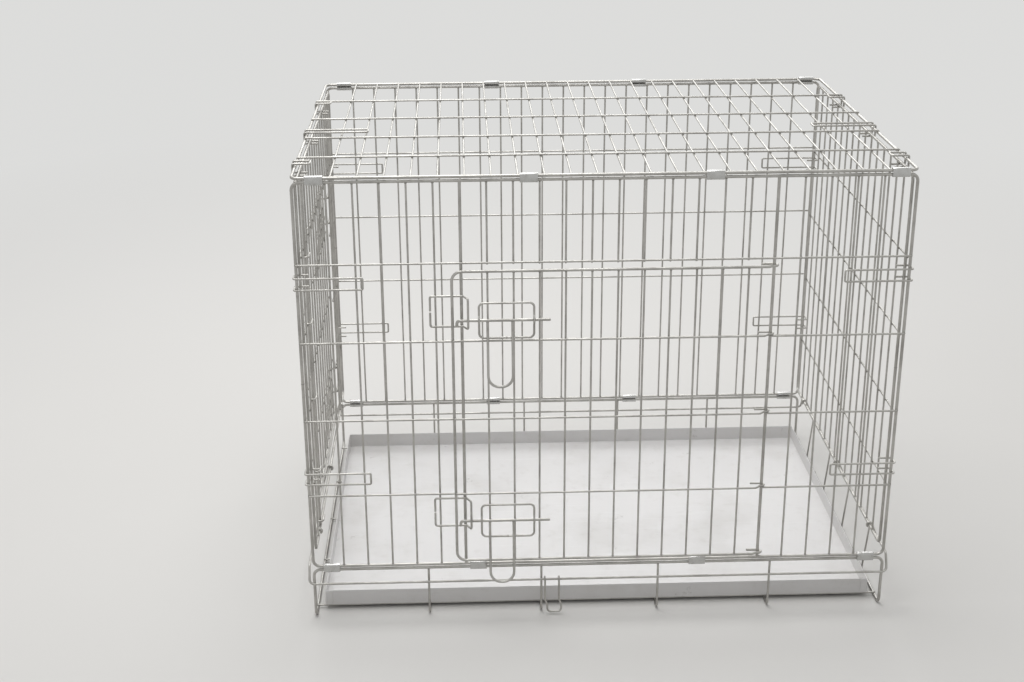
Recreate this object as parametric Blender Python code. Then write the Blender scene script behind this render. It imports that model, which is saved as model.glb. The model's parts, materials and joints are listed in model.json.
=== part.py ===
"""A folding wire dog crate: five wire panels on a wire base, two hinged doors and a pull-out tray.

The crate stands on the floor, centred on the origin. Its long side runs along X, its front door
faces -Y and the tray slides out past the end door, towards -X. Sizes are in metres.
"""
from math import asin, cos, pi, radians, sin, tan

import bmesh
import bpy
from mathutils import Matrix, Vector

# Overall sizes, measured between wire centres
WIDTH = 0.760
DEPTH = 0.544
PANEL_HEIGHT = 0.524
RIM_HEIGHT = 0.0720
PITCH = 0.03235

# Wire diameters
FRAME_WIRE = 0.0040
INNER_WIRE = 0.0026
DOOR_WIRE = 0.0036
RAIL_WIRE = 0.0032
FOOT_WIRE = 0.0030
KEEPER_WIRE = 0.0028
BOLT_WIRE = 0.0038
HANDLE_WIRE = 0.0034

# Gaps between pieces
CLEARANCE = 0.0003
SNAP_CLEARANCE = 0.0004
HINGE_CLEARANCE = 0.00035
SWING_CLEARANCE = 0.0005
CROSSING_GAP = 0.0001

# Panels: wires numbered from the left, bars measured up from the bottom wire
BAR_HEIGHTS = (0.1045, 0.2106, 0.3170, 0.4200)
CORNER_RADIUS = 0.009
STACK_GAP = 0.0010
FRONT_POST_NUMBERS = (6, 18)
TOP_BARS = (-0.182, -0.080, 0.029, 0.142)
TOP_WIRE_SHIFT = 0.006
END_INSET = 0.0035
END_BAR_DROP = 0.005
END_TOP_DROP = 0.0025
RIGHT_HINGE_RISE = 0.0165
LEFT_HINGE_RISE = 0.0245

# Base
RAIL_DROP = 0.0205
RAIL_OVERLAP = 0.0005
RAIL_BULGE = 0.0065
RAIL_CORNER = 0.0064
END_RAIL_RISE = 0.0020
FOOT_SPACING = (0.078, 0.228)
FLOOR_WIRES = 5
FLOOR_WIRE_INSET = 0.004
FLOOR_WIRE_OVERLAP = 0.0004
STOPS = 4
STOP_SPACING = 0.120
HINGE_EYE_BAYS = (-6.5, -0.5, 6.5)
EYE_START = radians(-20)
EYE_TURN = radians(260)

# Door, measured from the middle of its hinge post
DOOR_LAP = 0.0116
DOOR_OFFSET = 0.0074
DOOR_BOTTOM_RISE = 0.0085
DOOR_TOP_DROP = 0.0095
DOOR_BAR_RISE = 0.0030
DOOR_CORNER = 0.012
HOOK_TAPER = 0.0025
HOOK_TURN = radians(225)

# Latches, heights measured up from the panel's bottom wire
LATCH_HEIGHTS = (0.0685, 0.3475)
LATCH_NAMES = ("lower", "upper")
KEEPER_BEHIND = 0.0391
KEEPER_AHEAD = 0.0079
KEEPER_BEND = 0.0060
KEEPER_ABOVE = 0.0300
KEEPER_BELOW = 0.0100
KEEPER_CUT = 0.0020
GUIDE_START = 0.0214
GUIDE_WIDTH = 0.0685
GUIDE_ABOVE = 0.0225
GUIDE_BELOW = 0.0235
GUIDE_CORNER = 0.006
GUIDE_KINK = 0.0034
BOLT_BEHIND = 0.0061
BOLT_LENGTH = 0.116
HANDLE_START = 0.0320
HANDLE_WIDTH = 0.0310
HANDLE_LENGTH = 0.086
HANDLE_CORNER = 0.014

# Clips: C-shaped sleeves round two stacked wires, placed by bay number from the middle, one in each end bay
CLIP_LENGTH = 0.022
CLIP_SHEET = 0.0010
CLIP_MOUTH = 0.0024
CLIP_CORNER = 0.0012
MIDDLE_CLIP_BAYS = {
    "base_front": (-5, 4),
    "base_back": (-4, 3),
    "top_front": (-3, 4),
    "top_back": (-4, 3),
}

# Corner hooks: one bent wire each, two arms apart by HOOK_SPREAD
HOOK_SPREAD = 0.015
HOOK_LENGTH = 0.0846
SHORT_HOOK_LENGTH = 0.0216
HOOK_RETURN = 0.0171
HOOK_HEIGHTS = (0.1290, 0.3955)
TOP_HOOK_PLACE = -0.046
SHORT_HOOK_PLACES = {"front": -0.209, "back": 0.1316}
HOOK_CORNER = 0.0020

# Swing hook under the front door
SWING_HOOK_PLACE = -0.0641
SWING_HOOK_WIDTH = 0.0187
SWING_HOOK_LENGTH = 0.0480
SWING_EYE_START = radians(-60)
SWING_EYE_TURN = radians(240)

# Tray
TRAY_END_GAP = 0.0115
TRAY_SIDE_GAP = 0.020
TRAY_HEIGHT = 0.022
TRAY_SHEET = 0.0009
TRAY_CORNER = 0.006

# Places that follow from the sizes above
FRONT_BOTTOM = RIM_HEIGHT + FRAME_WIRE + STACK_GAP
FRONT_TOP = FRONT_BOTTOM + PANEL_HEIGHT
TOP_LEVEL = FRONT_TOP + FRAME_WIRE + STACK_GAP
BAR_OFFSET = INNER_WIRE + CROSSING_GAP
DOOR_BAR_OFFSET = DOOR_OFFSET + BAR_OFFSET
DOOR_HOOK_REACH = FRAME_WIRE / 2 + HINGE_CLEARANCE + DOOR_WIRE
END_HALF_WIDTH = DEPTH / 2 - DOOR_HOOK_REACH - SWING_CLEARANCE - FRAME_WIRE / 2
END_PLANE = WIDTH / 2 - END_INSET
END_TOP = FRONT_TOP - END_TOP_DROP
LONG_WIRES = int(WIDTH / PITCH) - 1
END_WIRES = int(2 * END_HALF_WIDTH / PITCH) - 1
END_POST_NUMBERS = (2, END_WIRES - 1)
LAST_BAY = LONG_WIRES // 2
TRAY_LENGTH = WIDTH - 2 * TRAY_END_GAP
TRAY_WIDTH = DEPTH - 2 * TRAY_SIDE_GAP
FLOOR_WIRE_SPACING = (TRAY_WIDTH - 2 * FLOOR_WIRE_INSET) / (FLOOR_WIRES - 1)
KEEPER_OFFSET = FRAME_WIRE / 2 + CLEARANCE + KEEPER_WIRE / 2
BOLT_OFFSET = DOOR_OFFSET + INNER_WIRE / 2 + CLEARANCE + BOLT_WIRE / 2
GUIDE_OFFSET = DOOR_OFFSET + INNER_WIRE / 2 + CLEARANCE + KEEPER_WIRE / 2
KEEPER_BAR_OFFSET = BOLT_OFFSET + BOLT_WIRE / 2 + SNAP_CLEARANCE + KEEPER_WIRE / 2
HOOK_ARM_OFFSET = FRAME_WIRE / 2 + SNAP_CLEARANCE + INNER_WIRE / 2
RAIL_LEVEL = RIM_HEIGHT - RAIL_DROP
RAIL_PLANE = DEPTH / 2 + FOOT_WIRE / 2 + RAIL_WIRE / 2 - RAIL_OVERLAP
FLOOR_WIRE_LEVEL = FOOT_WIRE + INNER_WIRE / 2 - FLOOR_WIRE_OVERLAP
TRAY_BOTTOM = FLOOR_WIRE_LEVEL + INNER_WIRE / 2 + CLEARANCE

# How finely the wires are drawn
HOOK_STEPS = 5
SIX_SIDED = 1
EIGHT_SIDED = 2
NEARLY_STRAIGHT = radians(176)
MOST_OF_A_RUN = 0.488
MERGE_DISTANCE = 1e-6
SHARP_ANGLE = radians(50)


def clear_scene():
    """Remove whatever the scene holds before modelling."""
    for old in list(bpy.data.objects):
        bpy.data.objects.remove(old, do_unlink=True)


def finish(name, colour, roughness, metallic):
    """A Principled material."""
    made = bpy.data.materials.new(name)
    made.use_nodes = True
    shader = made.node_tree.nodes["Principled BSDF"]
    shader.inputs["Base Color"].default_value = (*colour, 1.0)
    shader.inputs["Roughness"].default_value = roughness
    shader.inputs["Metallic"].default_value = metallic
    return made


def rounded(points, radius, closed=False, steps=2):
    """The same path with each corner turned into an arc."""
    points = [Vector(point) for point in points]
    count = len(points)
    path = []
    for index, corner in enumerate(points):
        if not closed and index in (0, count - 1):
            path.append(corner)
            continue
        before = points[index - 1] - corner
        after = points[(index + 1) % count] - corner
        angle = before.angle(after)
        if angle > NEARLY_STRAIGHT:
            path.append(corner)
            continue
        shorter = min(before.length, after.length)
        reach = min(radius / tan(angle / 2), shorter * MOST_OF_A_RUN)
        bend = reach * tan(angle / 2)
        before.normalize()
        after.normalize()
        centre = corner + (before + after).normalized() * (bend / sin(angle / 2))
        start = (corner + before * reach - centre).normalized()
        end = (corner + after * reach - centre).normalized()
        for step in range(steps + 1):
            path.append(centre + start.slerp(end, step / steps) * bend)
    return path


def wire(points, diameter, closed=False, sides=SIX_SIDED):
    """One bent wire as a mesh object."""
    curve = bpy.data.curves.new("wire", "CURVE")
    curve.dimensions = "3D"
    curve.bevel_depth = diameter / 2
    curve.bevel_resolution = sides
    curve.use_fill_caps = not closed
    spline = curve.splines.new("POLY")
    spline.points.add(len(points) - 1)
    for point, place in zip(spline.points, points):
        point.co = (*place, 1.0)
    spline.use_cyclic_u = closed
    drawn = bpy.data.objects.new("wire", curve)
    mesh = bpy.data.meshes.new_from_object(drawn)
    bpy.data.objects.remove(drawn)
    shape = bmesh.new()
    shape.from_mesh(mesh)
    bmesh.ops.remove_doubles(shape, verts=shape.verts, dist=MERGE_DISTANCE)
    bmesh.ops.recalc_face_normals(shape, faces=shape.faces)
    shape.to_mesh(mesh)
    shape.free()
    piece = bpy.data.objects.new("wire", mesh)
    bpy.context.scene.collection.objects.link(piece)
    return piece


def weld(name, wires, material):
    """Wires that are welded together, as one closed body."""
    body = wires[0]
    if len(wires) > 1:
        group = bpy.data.collections.new("wires of " + name)
        bpy.context.scene.collection.children.link(group)
        for piece in wires[1:]:
            group.objects.link(piece)
        union = body.modifiers.new("welds", "BOOLEAN")
        union.operation = "UNION"
        union.solver = "EXACT"
        union.operand_type = "COLLECTION"
        union.collection = group
        bpy.context.view_layer.update()
        welded = bpy.data.meshes.new_from_object(body.evaluated_get(bpy.context.evaluated_depsgraph_get()))
        body.modifiers.clear()
        body.data = welded
        for piece in wires[1:]:
            bpy.data.objects.remove(piece, do_unlink=True)
        bpy.data.collections.remove(group)
    body.name = name
    body.data.name = name
    body.data.materials.clear()
    body.data.materials.append(material)
    body.data.shade_smooth()
    body.data.set_sharp_from_angle(angle=SHARP_ANGLE)
    return body


def pivot(name, place, turn=0.0, parent=None):
    """An empty on a joint's axis, turned about Z."""
    empty = bpy.data.objects.new(name, None)
    empty.empty_display_size = 0.02
    bpy.context.scene.collection.objects.link(empty)
    world = Matrix.Translation(place) @ Matrix.Rotation(turn, 4, "Z")
    if parent:
        empty.parent = parent
        world = parent.matrix_world.inverted() @ world
    empty.matrix_basis = world
    bpy.context.view_layer.update()
    return empty


def carry(piece, place, parent=None):
    """Put a piece modelled in a panel's or door's own frame in its place, on its pivot if it moves."""
    if parent:
        piece.data.transform(parent.matrix_world.inverted() @ place)
        piece.parent = parent
    else:
        piece.data.transform(place)
    return piece


def upright_place(number, count):
    """How far an upright stands from the middle of its panel."""
    return (number - (count + 1) / 2) * PITCH


def wall_panel(name, half_width, bottom, top, count, bars, material, posts=None, shift=0.0):
    """A wire panel in its own frame: X across, Z up, outside towards -Y."""
    corners = [(-half_width, 0, bottom), (half_width, 0, bottom), (half_width, 0, top), (-half_width, 0, top)]
    wires = [wire(rounded(corners, CORNER_RADIUS, closed=True), FRAME_WIRE, closed=True, sides=EIGHT_SIDED)]
    for number in range(1, count + 1):
        place = upright_place(number, count) + shift
        start = bottom
        diameter = INNER_WIRE
        sides = SIX_SIDED
        if posts and number in posts:
            diameter = FRAME_WIRE
            sides = EIGHT_SIDED
        elif posts and posts[0] < number < posts[1]:
            start = bars[-1] - INNER_WIRE
        wires.append(wire([(place, 0, start), (place, 0, top)], diameter, sides=sides))
    for bar in bars:
        spans = [(-half_width, half_width)]
        if posts and bar != bars[-1]:
            left_post = upright_place(posts[0], count)
            right_post = upright_place(posts[1], count)
            spans = [(-half_width, left_post), (right_post, half_width)]
        for start, end in spans:
            wires.append(wire([(start, -BAR_OFFSET, bar), (end, -BAR_OFFSET, bar)], INNER_WIRE))
    return weld(name, wires, material)


def hinge_hook(level, offset, diameter):
    """The end of a door wire: it bends in to the post and turns round it."""
    radius = FRAME_WIRE / 2 + HINGE_CLEARANCE + diameter / 2
    path = [Vector((-radius - offset / 2, -offset, level)), Vector((-HOOK_TAPER, -radius, level))]
    for step in range(HOOK_STEPS + 1):
        angle = -pi / 2 + HOOK_TURN * step / HOOK_STEPS
        path.append(Vector((radius * cos(angle), radius * sin(angle), level)))
    return path


def door(name, bays, bottom, top, bars, material):
    """A door in its own frame: hinge post at the origin, door towards -X, outside towards -Y."""
    latch_side = -bays * PITCH - DOOR_LAP
    top_hook = hinge_hook(top, DOOR_OFFSET, DOOR_WIRE)
    bottom_hook = hinge_hook(bottom, DOOR_OFFSET, DOOR_WIRE)
    bend = [
        top_hook[0],
        (latch_side, -DOOR_OFFSET, top),
        (latch_side, -DOOR_OFFSET, bottom),
        bottom_hook[0],
    ]
    path = top_hook[:0:-1] + rounded(bend, DOOR_CORNER) + bottom_hook[1:]
    wires = [wire(path, DOOR_WIRE, sides=EIGHT_SIDED)]
    for number in range(1, bays):
        place = -number * PITCH
        wires.append(wire([(place, -DOOR_OFFSET, bottom), (place, -DOOR_OFFSET, top)], INNER_WIRE))
    for bar in bars:
        start = Vector((latch_side, -DOOR_BAR_OFFSET, bar))
        wires.append(wire([start] + hinge_hook(bar, DOOR_BAR_OFFSET, INNER_WIRE), INNER_WIRE))
    return weld(name, wires, material)


def keeper(name, post, level, material):
    """The loop on the panel that the bolt slides behind, in the door's frame."""
    left = post - KEEPER_BEHIND
    bar = post + KEEPER_AHEAD
    bend = bar - KEEPER_BEND
    high = level + KEEPER_ABOVE
    low = level - KEEPER_BELOW
    middle = (high + low) / 2
    path = [
        (left, -KEEPER_OFFSET, middle - KEEPER_CUT / 2),
        (left, -KEEPER_OFFSET, low),
        (bend, -KEEPER_OFFSET, low),
        (bar, -KEEPER_BAR_OFFSET, low),
        (bar, -KEEPER_BAR_OFFSET, high),
        (bend, -KEEPER_OFFSET, high),
        (left, -KEEPER_OFFSET, high),
        (left, -KEEPER_OFFSET, middle + KEEPER_CUT / 2),
    ]
    return weld(name, [wire(rounded(path, KEEPER_WIRE, steps=1), KEEPER_WIRE)], material)


def guide(name, post, level, material):
    """The loop on the door that the bolt runs in, kinked outwards over the bolt, in the door's frame."""
    left = post + GUIDE_START
    right = left + GUIDE_WIDTH
    over_bolt = BOLT_OFFSET + BOLT_WIRE / 2 + HINGE_CLEARANCE + KEEPER_WIRE / 2
    near = BOLT_WIRE / 2 + KEEPER_WIRE / 4
    far = near + GUIDE_KINK
    low = level - GUIDE_BELOW
    high = level + GUIDE_ABOVE
    ends = ((left, low), (left, high), (right, high), (right, low))
    corners = [(side, -GUIDE_OFFSET, end) for side, end in ends]
    loop = rounded(corners, GUIDE_CORNER, closed=True)
    half = len(loop) // 2
    path = []
    for side, way, ends in ((left, 1, loop[:half]), (right, -1, loop[half:])):
        kink = [
            Vector((side, -GUIDE_OFFSET, level - way * far)),
            Vector((side, -over_bolt, level - way * near)),
            Vector((side, -over_bolt, level + way * near)),
            Vector((side, -GUIDE_OFFSET, level + way * far)),
        ]
        path += ends[:half // 2] + kink + ends[half // 2:]
    return weld(name, [wire(path, KEEPER_WIRE, closed=True)], material)


def bolt(name, post, level, material):
    """The sliding rod, its tip turned down behind the keeper, in the door's frame."""
    tip = post - BOLT_BEHIND
    drop = KEEPER_BELOW - KEEPER_WIRE - CLEARANCE
    path = [
        (tip, -BOLT_OFFSET, level - drop),
        (tip, -BOLT_OFFSET, level),
        (tip + BOLT_LENGTH, -BOLT_OFFSET, level),
    ]
    return weld(name, [wire(rounded(path, BOLT_WIRE), BOLT_WIRE, sides=EIGHT_SIDED)], material)


def handle(name, post, level, material):
    """The hanging finger loop, tilted out just enough to clear the guide, in the door's frame."""
    left = post + HANDLE_START
    right = left + HANDLE_WIDTH
    start = BOLT_WIRE / 2 + CLEARANCE
    apart = HANDLE_WIRE / 2 + KEEPER_WIRE / 2 + SNAP_CLEARANCE
    tilt = asin((apart - (BOLT_OFFSET - GUIDE_OFFSET)) / GUIDE_BELOW)
    path = [(left, 0, -start), (left, 0, -HANDLE_LENGTH), (right, 0, -HANDLE_LENGTH), (right, 0, -start)]
    loop = wire(rounded(path, HANDLE_CORNER, steps=4), HANDLE_WIRE)
    loop.data.transform(Matrix.Translation((0, -BOLT_OFFSET, level)) @ Matrix.Rotation(-tilt, 4, "X"))
    return weld(name, [loop], material)


def corner_hook(name, side, middle, length, return_depth, material):
    """A hook wire in a panel's frame: two arms on the outside, turned back behind the next panel."""
    outer = WIDTH / 2 + FRAME_WIRE / 2 + CLEARANCE + INNER_WIRE / 2
    inner = outer - length
    tip = outer - HOOK_RETURN
    back = return_depth + FRAME_WIRE / 2 + SNAP_CLEARANCE + INNER_WIRE / 2
    path = []
    for level, way in ((middle + HOOK_SPREAD / 2, 1), (middle - HOOK_SPREAD / 2, -1)):
        arm = [
            (side * tip, back, level),
            (side * outer, back, level),
            (side * outer, -HOOK_ARM_OFFSET, level),
            (side * inner, -HOOK_ARM_OFFSET, level),
        ]
        path += arm[::way]
    return weld(name, [wire(rounded(path, HOOK_CORNER, steps=1), INNER_WIRE)], material)


def outline_of_clip():
    """The clip's section, Y across and Z up, its mouth towards +Y."""
    half_width = FRAME_WIRE / 2 + CLEARANCE
    half_height = FRAME_WIRE + STACK_GAP / 2 + CLEARANCE
    mouth = CLIP_MOUTH / 2
    loops = []
    for wall, radius in ((CLIP_SHEET, CLIP_CORNER + CLIP_SHEET), (0.0, CLIP_CORNER)):
        across = half_width + wall
        up = half_height + wall
        corners = [(0, across, -mouth), (0, across, -up), (0, -across, -up), (0, -across, up),
                   (0, across, up), (0, across, mouth)]
        loops.append(rounded(corners, radius, steps=1))
    return loops[0] + loops[1][::-1]


def clip(name, middle, material):
    """A folded sheet sleeve along X."""
    shape = bmesh.new()
    ring = [shape.verts.new(point + Vector((-CLIP_LENGTH / 2, 0, 0))) for point in outline_of_clip()]
    section = shape.faces.new(ring)
    pulled = bmesh.ops.extrude_face_region(shape, geom=[section])
    moved = [item for item in pulled["geom"] if isinstance(item, bmesh.types.BMVert)]
    bmesh.ops.translate(shape, verts=moved, vec=(CLIP_LENGTH, 0, 0))
    bmesh.ops.recalc_face_normals(shape, faces=shape.faces)
    bmesh.ops.translate(shape, verts=shape.verts, vec=middle)
    mesh = bpy.data.meshes.new(name)
    shape.to_mesh(mesh)
    shape.free()
    piece = bpy.data.objects.new(name, mesh)
    bpy.context.scene.collection.objects.link(piece)
    return weld(name, [piece], material)


def base_ring():
    """The rim, four corner legs and two floor runs, bent from one wire."""
    side = WIDTH / 2
    front = -DEPTH / 2
    floor = FRAME_WIRE / 2
    path = [
        (-side, front, RIM_HEIGHT),
        (side, front, RIM_HEIGHT),
        (side, front, floor),
        (side, -front, floor),
        (side, -front, RIM_HEIGHT),
        (-side, -front, RIM_HEIGHT),
        (-side, -front, floor),
        (-side, front, floor),
    ]
    return wire(rounded(path, CORNER_RADIUS, closed=True), FRAME_WIRE, closed=True, sides=EIGHT_SIDED)


def rail_ring():
    """The second rail: low across the front and back, bulging out and up to the end rails."""
    out = WIDTH / 2 + RAIL_BULGE
    high = RIM_HEIGHT + END_RAIL_RISE
    rise = high - RAIL_LEVEL
    path = []
    for side, way in ((-1, -1), (1, -1), (1, 1), (-1, 1)):
        low_corner = (side * out, way * RAIL_PLANE, RAIL_LEVEL)
        high_corner = (side * out, way * (RAIL_PLANE - rise / 2), high)
        path += [high_corner, low_corner] if side == way else [low_corner, high_corner]
    return wire(rounded(path, RAIL_CORNER, closed=True), RAIL_WIRE, closed=True)


def foot_wires():
    """The U-shaped wires that run down the front, under the tray and up the back."""
    floor = FOOT_WIRE / 2
    half = DEPTH / 2
    wires = []
    for spacing in FOOT_SPACING:
        for place in (-spacing, spacing):
            path = [(place, -half, RIM_HEIGHT), (place, -half, floor), (place, half, floor),
                    (place, half, RIM_HEIGHT)]
            wires.append(wire(rounded(path, CORNER_RADIUS), FOOT_WIRE))
    return wires


def floor_wires():
    """The five long wires that the tray slides on."""
    half = WIDTH / 2
    wires = []
    for number in range(FLOOR_WIRES):
        place = (number - (FLOOR_WIRES - 1) / 2) * FLOOR_WIRE_SPACING
        ends = [(-half, place, FLOOR_WIRE_LEVEL), (half, place, FLOOR_WIRE_LEVEL)]
        wires.append(wire(ends, INNER_WIRE))
    return wires


def tray_stops():
    """Four short wires at the right end, which stop the tray."""
    wires = []
    for number in range(STOPS):
        place = (number - (STOPS - 1) / 2) * STOP_SPACING
        top = (WIDTH / 2 + RAIL_BULGE, place, RIM_HEIGHT + END_RAIL_RISE)
        wires.append(wire([top, (WIDTH / 2, place, FRAME_WIRE / 2)], INNER_WIRE))
    return wires


def hinge_eyes(side, rise):
    """Hooks from an end rail round the bottom wire of its end panel."""
    radius = FRAME_WIRE / 2 + HINGE_CLEARANCE + INNER_WIRE / 2
    axis_level = RIM_HEIGHT + rise
    rail = WIDTH / 2 + RAIL_BULGE
    wires = []
    for bay in HINGE_EYE_BAYS:
        place = bay * PITCH
        path = [(side * rail, place, RIM_HEIGHT + END_RAIL_RISE)]
        for step in range(HOOK_STEPS + 1):
            angle = EYE_START + EYE_TURN * step / HOOK_STEPS
            across = END_PLANE + radius * cos(angle)
            path.append((side * across, place, axis_level + radius * sin(angle)))
        wires.append(wire(path, INNER_WIRE))
    return wires


def base_frame(material):
    """The base: rim, legs, rails, floor wires, tray stops and hinge eyes."""
    wires = [base_ring(), rail_ring()]
    wires += foot_wires() + floor_wires() + tray_stops()
    wires += hinge_eyes(1, RIGHT_HINGE_RISE) + hinge_eyes(-1, LEFT_HINGE_RISE)
    return weld("base_frame", wires, material)


def swing_hook(material):
    """A small bail that hangs on the front rail, modelled about the rail's middle."""
    radius = RAIL_WIRE / 2 + HINGE_CLEARANCE + INNER_WIRE / 2
    path = []
    for place in (-SWING_HOOK_WIDTH / 2, SWING_HOOK_WIDTH / 2):
        eye = []
        for step in range(HOOK_STEPS + 1):
            angle = SWING_EYE_START + SWING_EYE_TURN * step / HOOK_STEPS
            eye.append(Vector((place, radius * cos(angle), radius * sin(angle))))
        path += eye if place < 0 else eye[::-1]
        if place < 0:
            corners = [(place, -radius, 0), (place, -radius, -SWING_HOOK_LENGTH),
                       (-place, -radius, -SWING_HOOK_LENGTH), (-place, -radius, 0)]
            path += rounded(corners, INNER_WIRE, steps=1)[1:-1]
    return weld("swing_hook", [wire(path, INNER_WIRE)], material)


def rounded_plate(shape, length, width, radius, level):
    """A ring of corners with rounded ends, for the tray."""
    half_length = length / 2
    half_width = width / 2
    corners = [(-half_length, -half_width, level), (half_length, -half_width, level),
               (half_length, half_width, level), (-half_length, half_width, level)]
    return [shape.verts.new(point) for point in rounded(corners, radius, closed=True)]


def tray(material):
    """An open sheet-metal tray."""
    shape = bmesh.new()
    inner_length = TRAY_LENGTH - 2 * TRAY_SHEET
    inner_width = TRAY_WIDTH - 2 * TRAY_SHEET
    inner_corner = TRAY_CORNER - TRAY_SHEET
    top = TRAY_BOTTOM + TRAY_HEIGHT
    rings = [
        rounded_plate(shape, TRAY_LENGTH, TRAY_WIDTH, TRAY_CORNER, TRAY_BOTTOM),
        rounded_plate(shape, TRAY_LENGTH, TRAY_WIDTH, TRAY_CORNER, top),
        rounded_plate(shape, inner_length, inner_width, inner_corner, top),
        rounded_plate(shape, inner_length, inner_width, inner_corner, TRAY_BOTTOM + TRAY_SHEET),
    ]
    shape.faces.new(rings[0])
    shape.faces.new(rings[-1])
    count = len(rings[0])
    for lower, upper in zip(rings, rings[1:]):
        for index in range(count):
            after = (index + 1) % count
            shape.faces.new((lower[index], lower[after], upper[after], upper[index]))
    bmesh.ops.recalc_face_normals(shape, faces=shape.faces)
    mesh = bpy.data.meshes.new("tray")
    shape.to_mesh(mesh)
    shape.free()
    piece = bpy.data.objects.new("tray", mesh)
    bpy.context.scene.collection.objects.link(piece)
    return weld("tray", [piece], material)


def doorway_set(name, place, bays, bottom, bars, panel_pivot, steel):
    """A door with its latches, hung in a doorway of some bays whose hinge post stands at place."""
    post = -bays * PITCH
    top = bars[-1] - DOOR_TOP_DROP
    hinge = pivot(name + "_hinge", place.translation, turn=place.to_euler().z, parent=panel_pivot)
    levels = [bar + DOOR_BAR_RISE for bar in bars[:-1]]
    carry(door(name, bays, bottom + DOOR_BOTTOM_RISE, top, levels, steel), place, hinge)
    for latch, height in zip(LATCH_NAMES, LATCH_HEIGHTS):
        level = bars[0] - BAR_HEIGHTS[0] + height
        prefix = name + "_" + latch
        carry(keeper(prefix + "_keeper", post, level, steel), place, panel_pivot)
        carry(guide(prefix + "_guide", post, level, steel), place, hinge)
        rod_place = place @ Vector((0, -BOLT_OFFSET, level))
        slide = pivot(prefix + "_slide", rod_place, turn=place.to_euler().z, parent=hinge)
        carry(bolt(prefix + "_bolt", post, level, steel), place, slide)
        swing = pivot(prefix + "_swing", rod_place, turn=place.to_euler().z, parent=slide)
        carry(handle(prefix + "_handle", post, level, steel), place, swing)


def stand_on_origin():
    """Move the whole crate so that its box stands centred on the origin."""
    bpy.context.view_layer.update()
    corners = []
    for item in bpy.data.objects:
        if item.type == "MESH":
            corners += [item.matrix_world @ vertex.co for vertex in item.data.vertices]
    low = Vector([min(corner[axis] for corner in corners) for axis in range(3)])
    high = Vector([max(corner[axis] for corner in corners) for axis in range(3)])
    shift = Vector((-(low.x + high.x) / 2, -(low.y + high.y) / 2, -low.z))
    for item in bpy.data.objects:
        if item.parent is None:
            item.location += shift
    bpy.context.view_layer.update()


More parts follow.
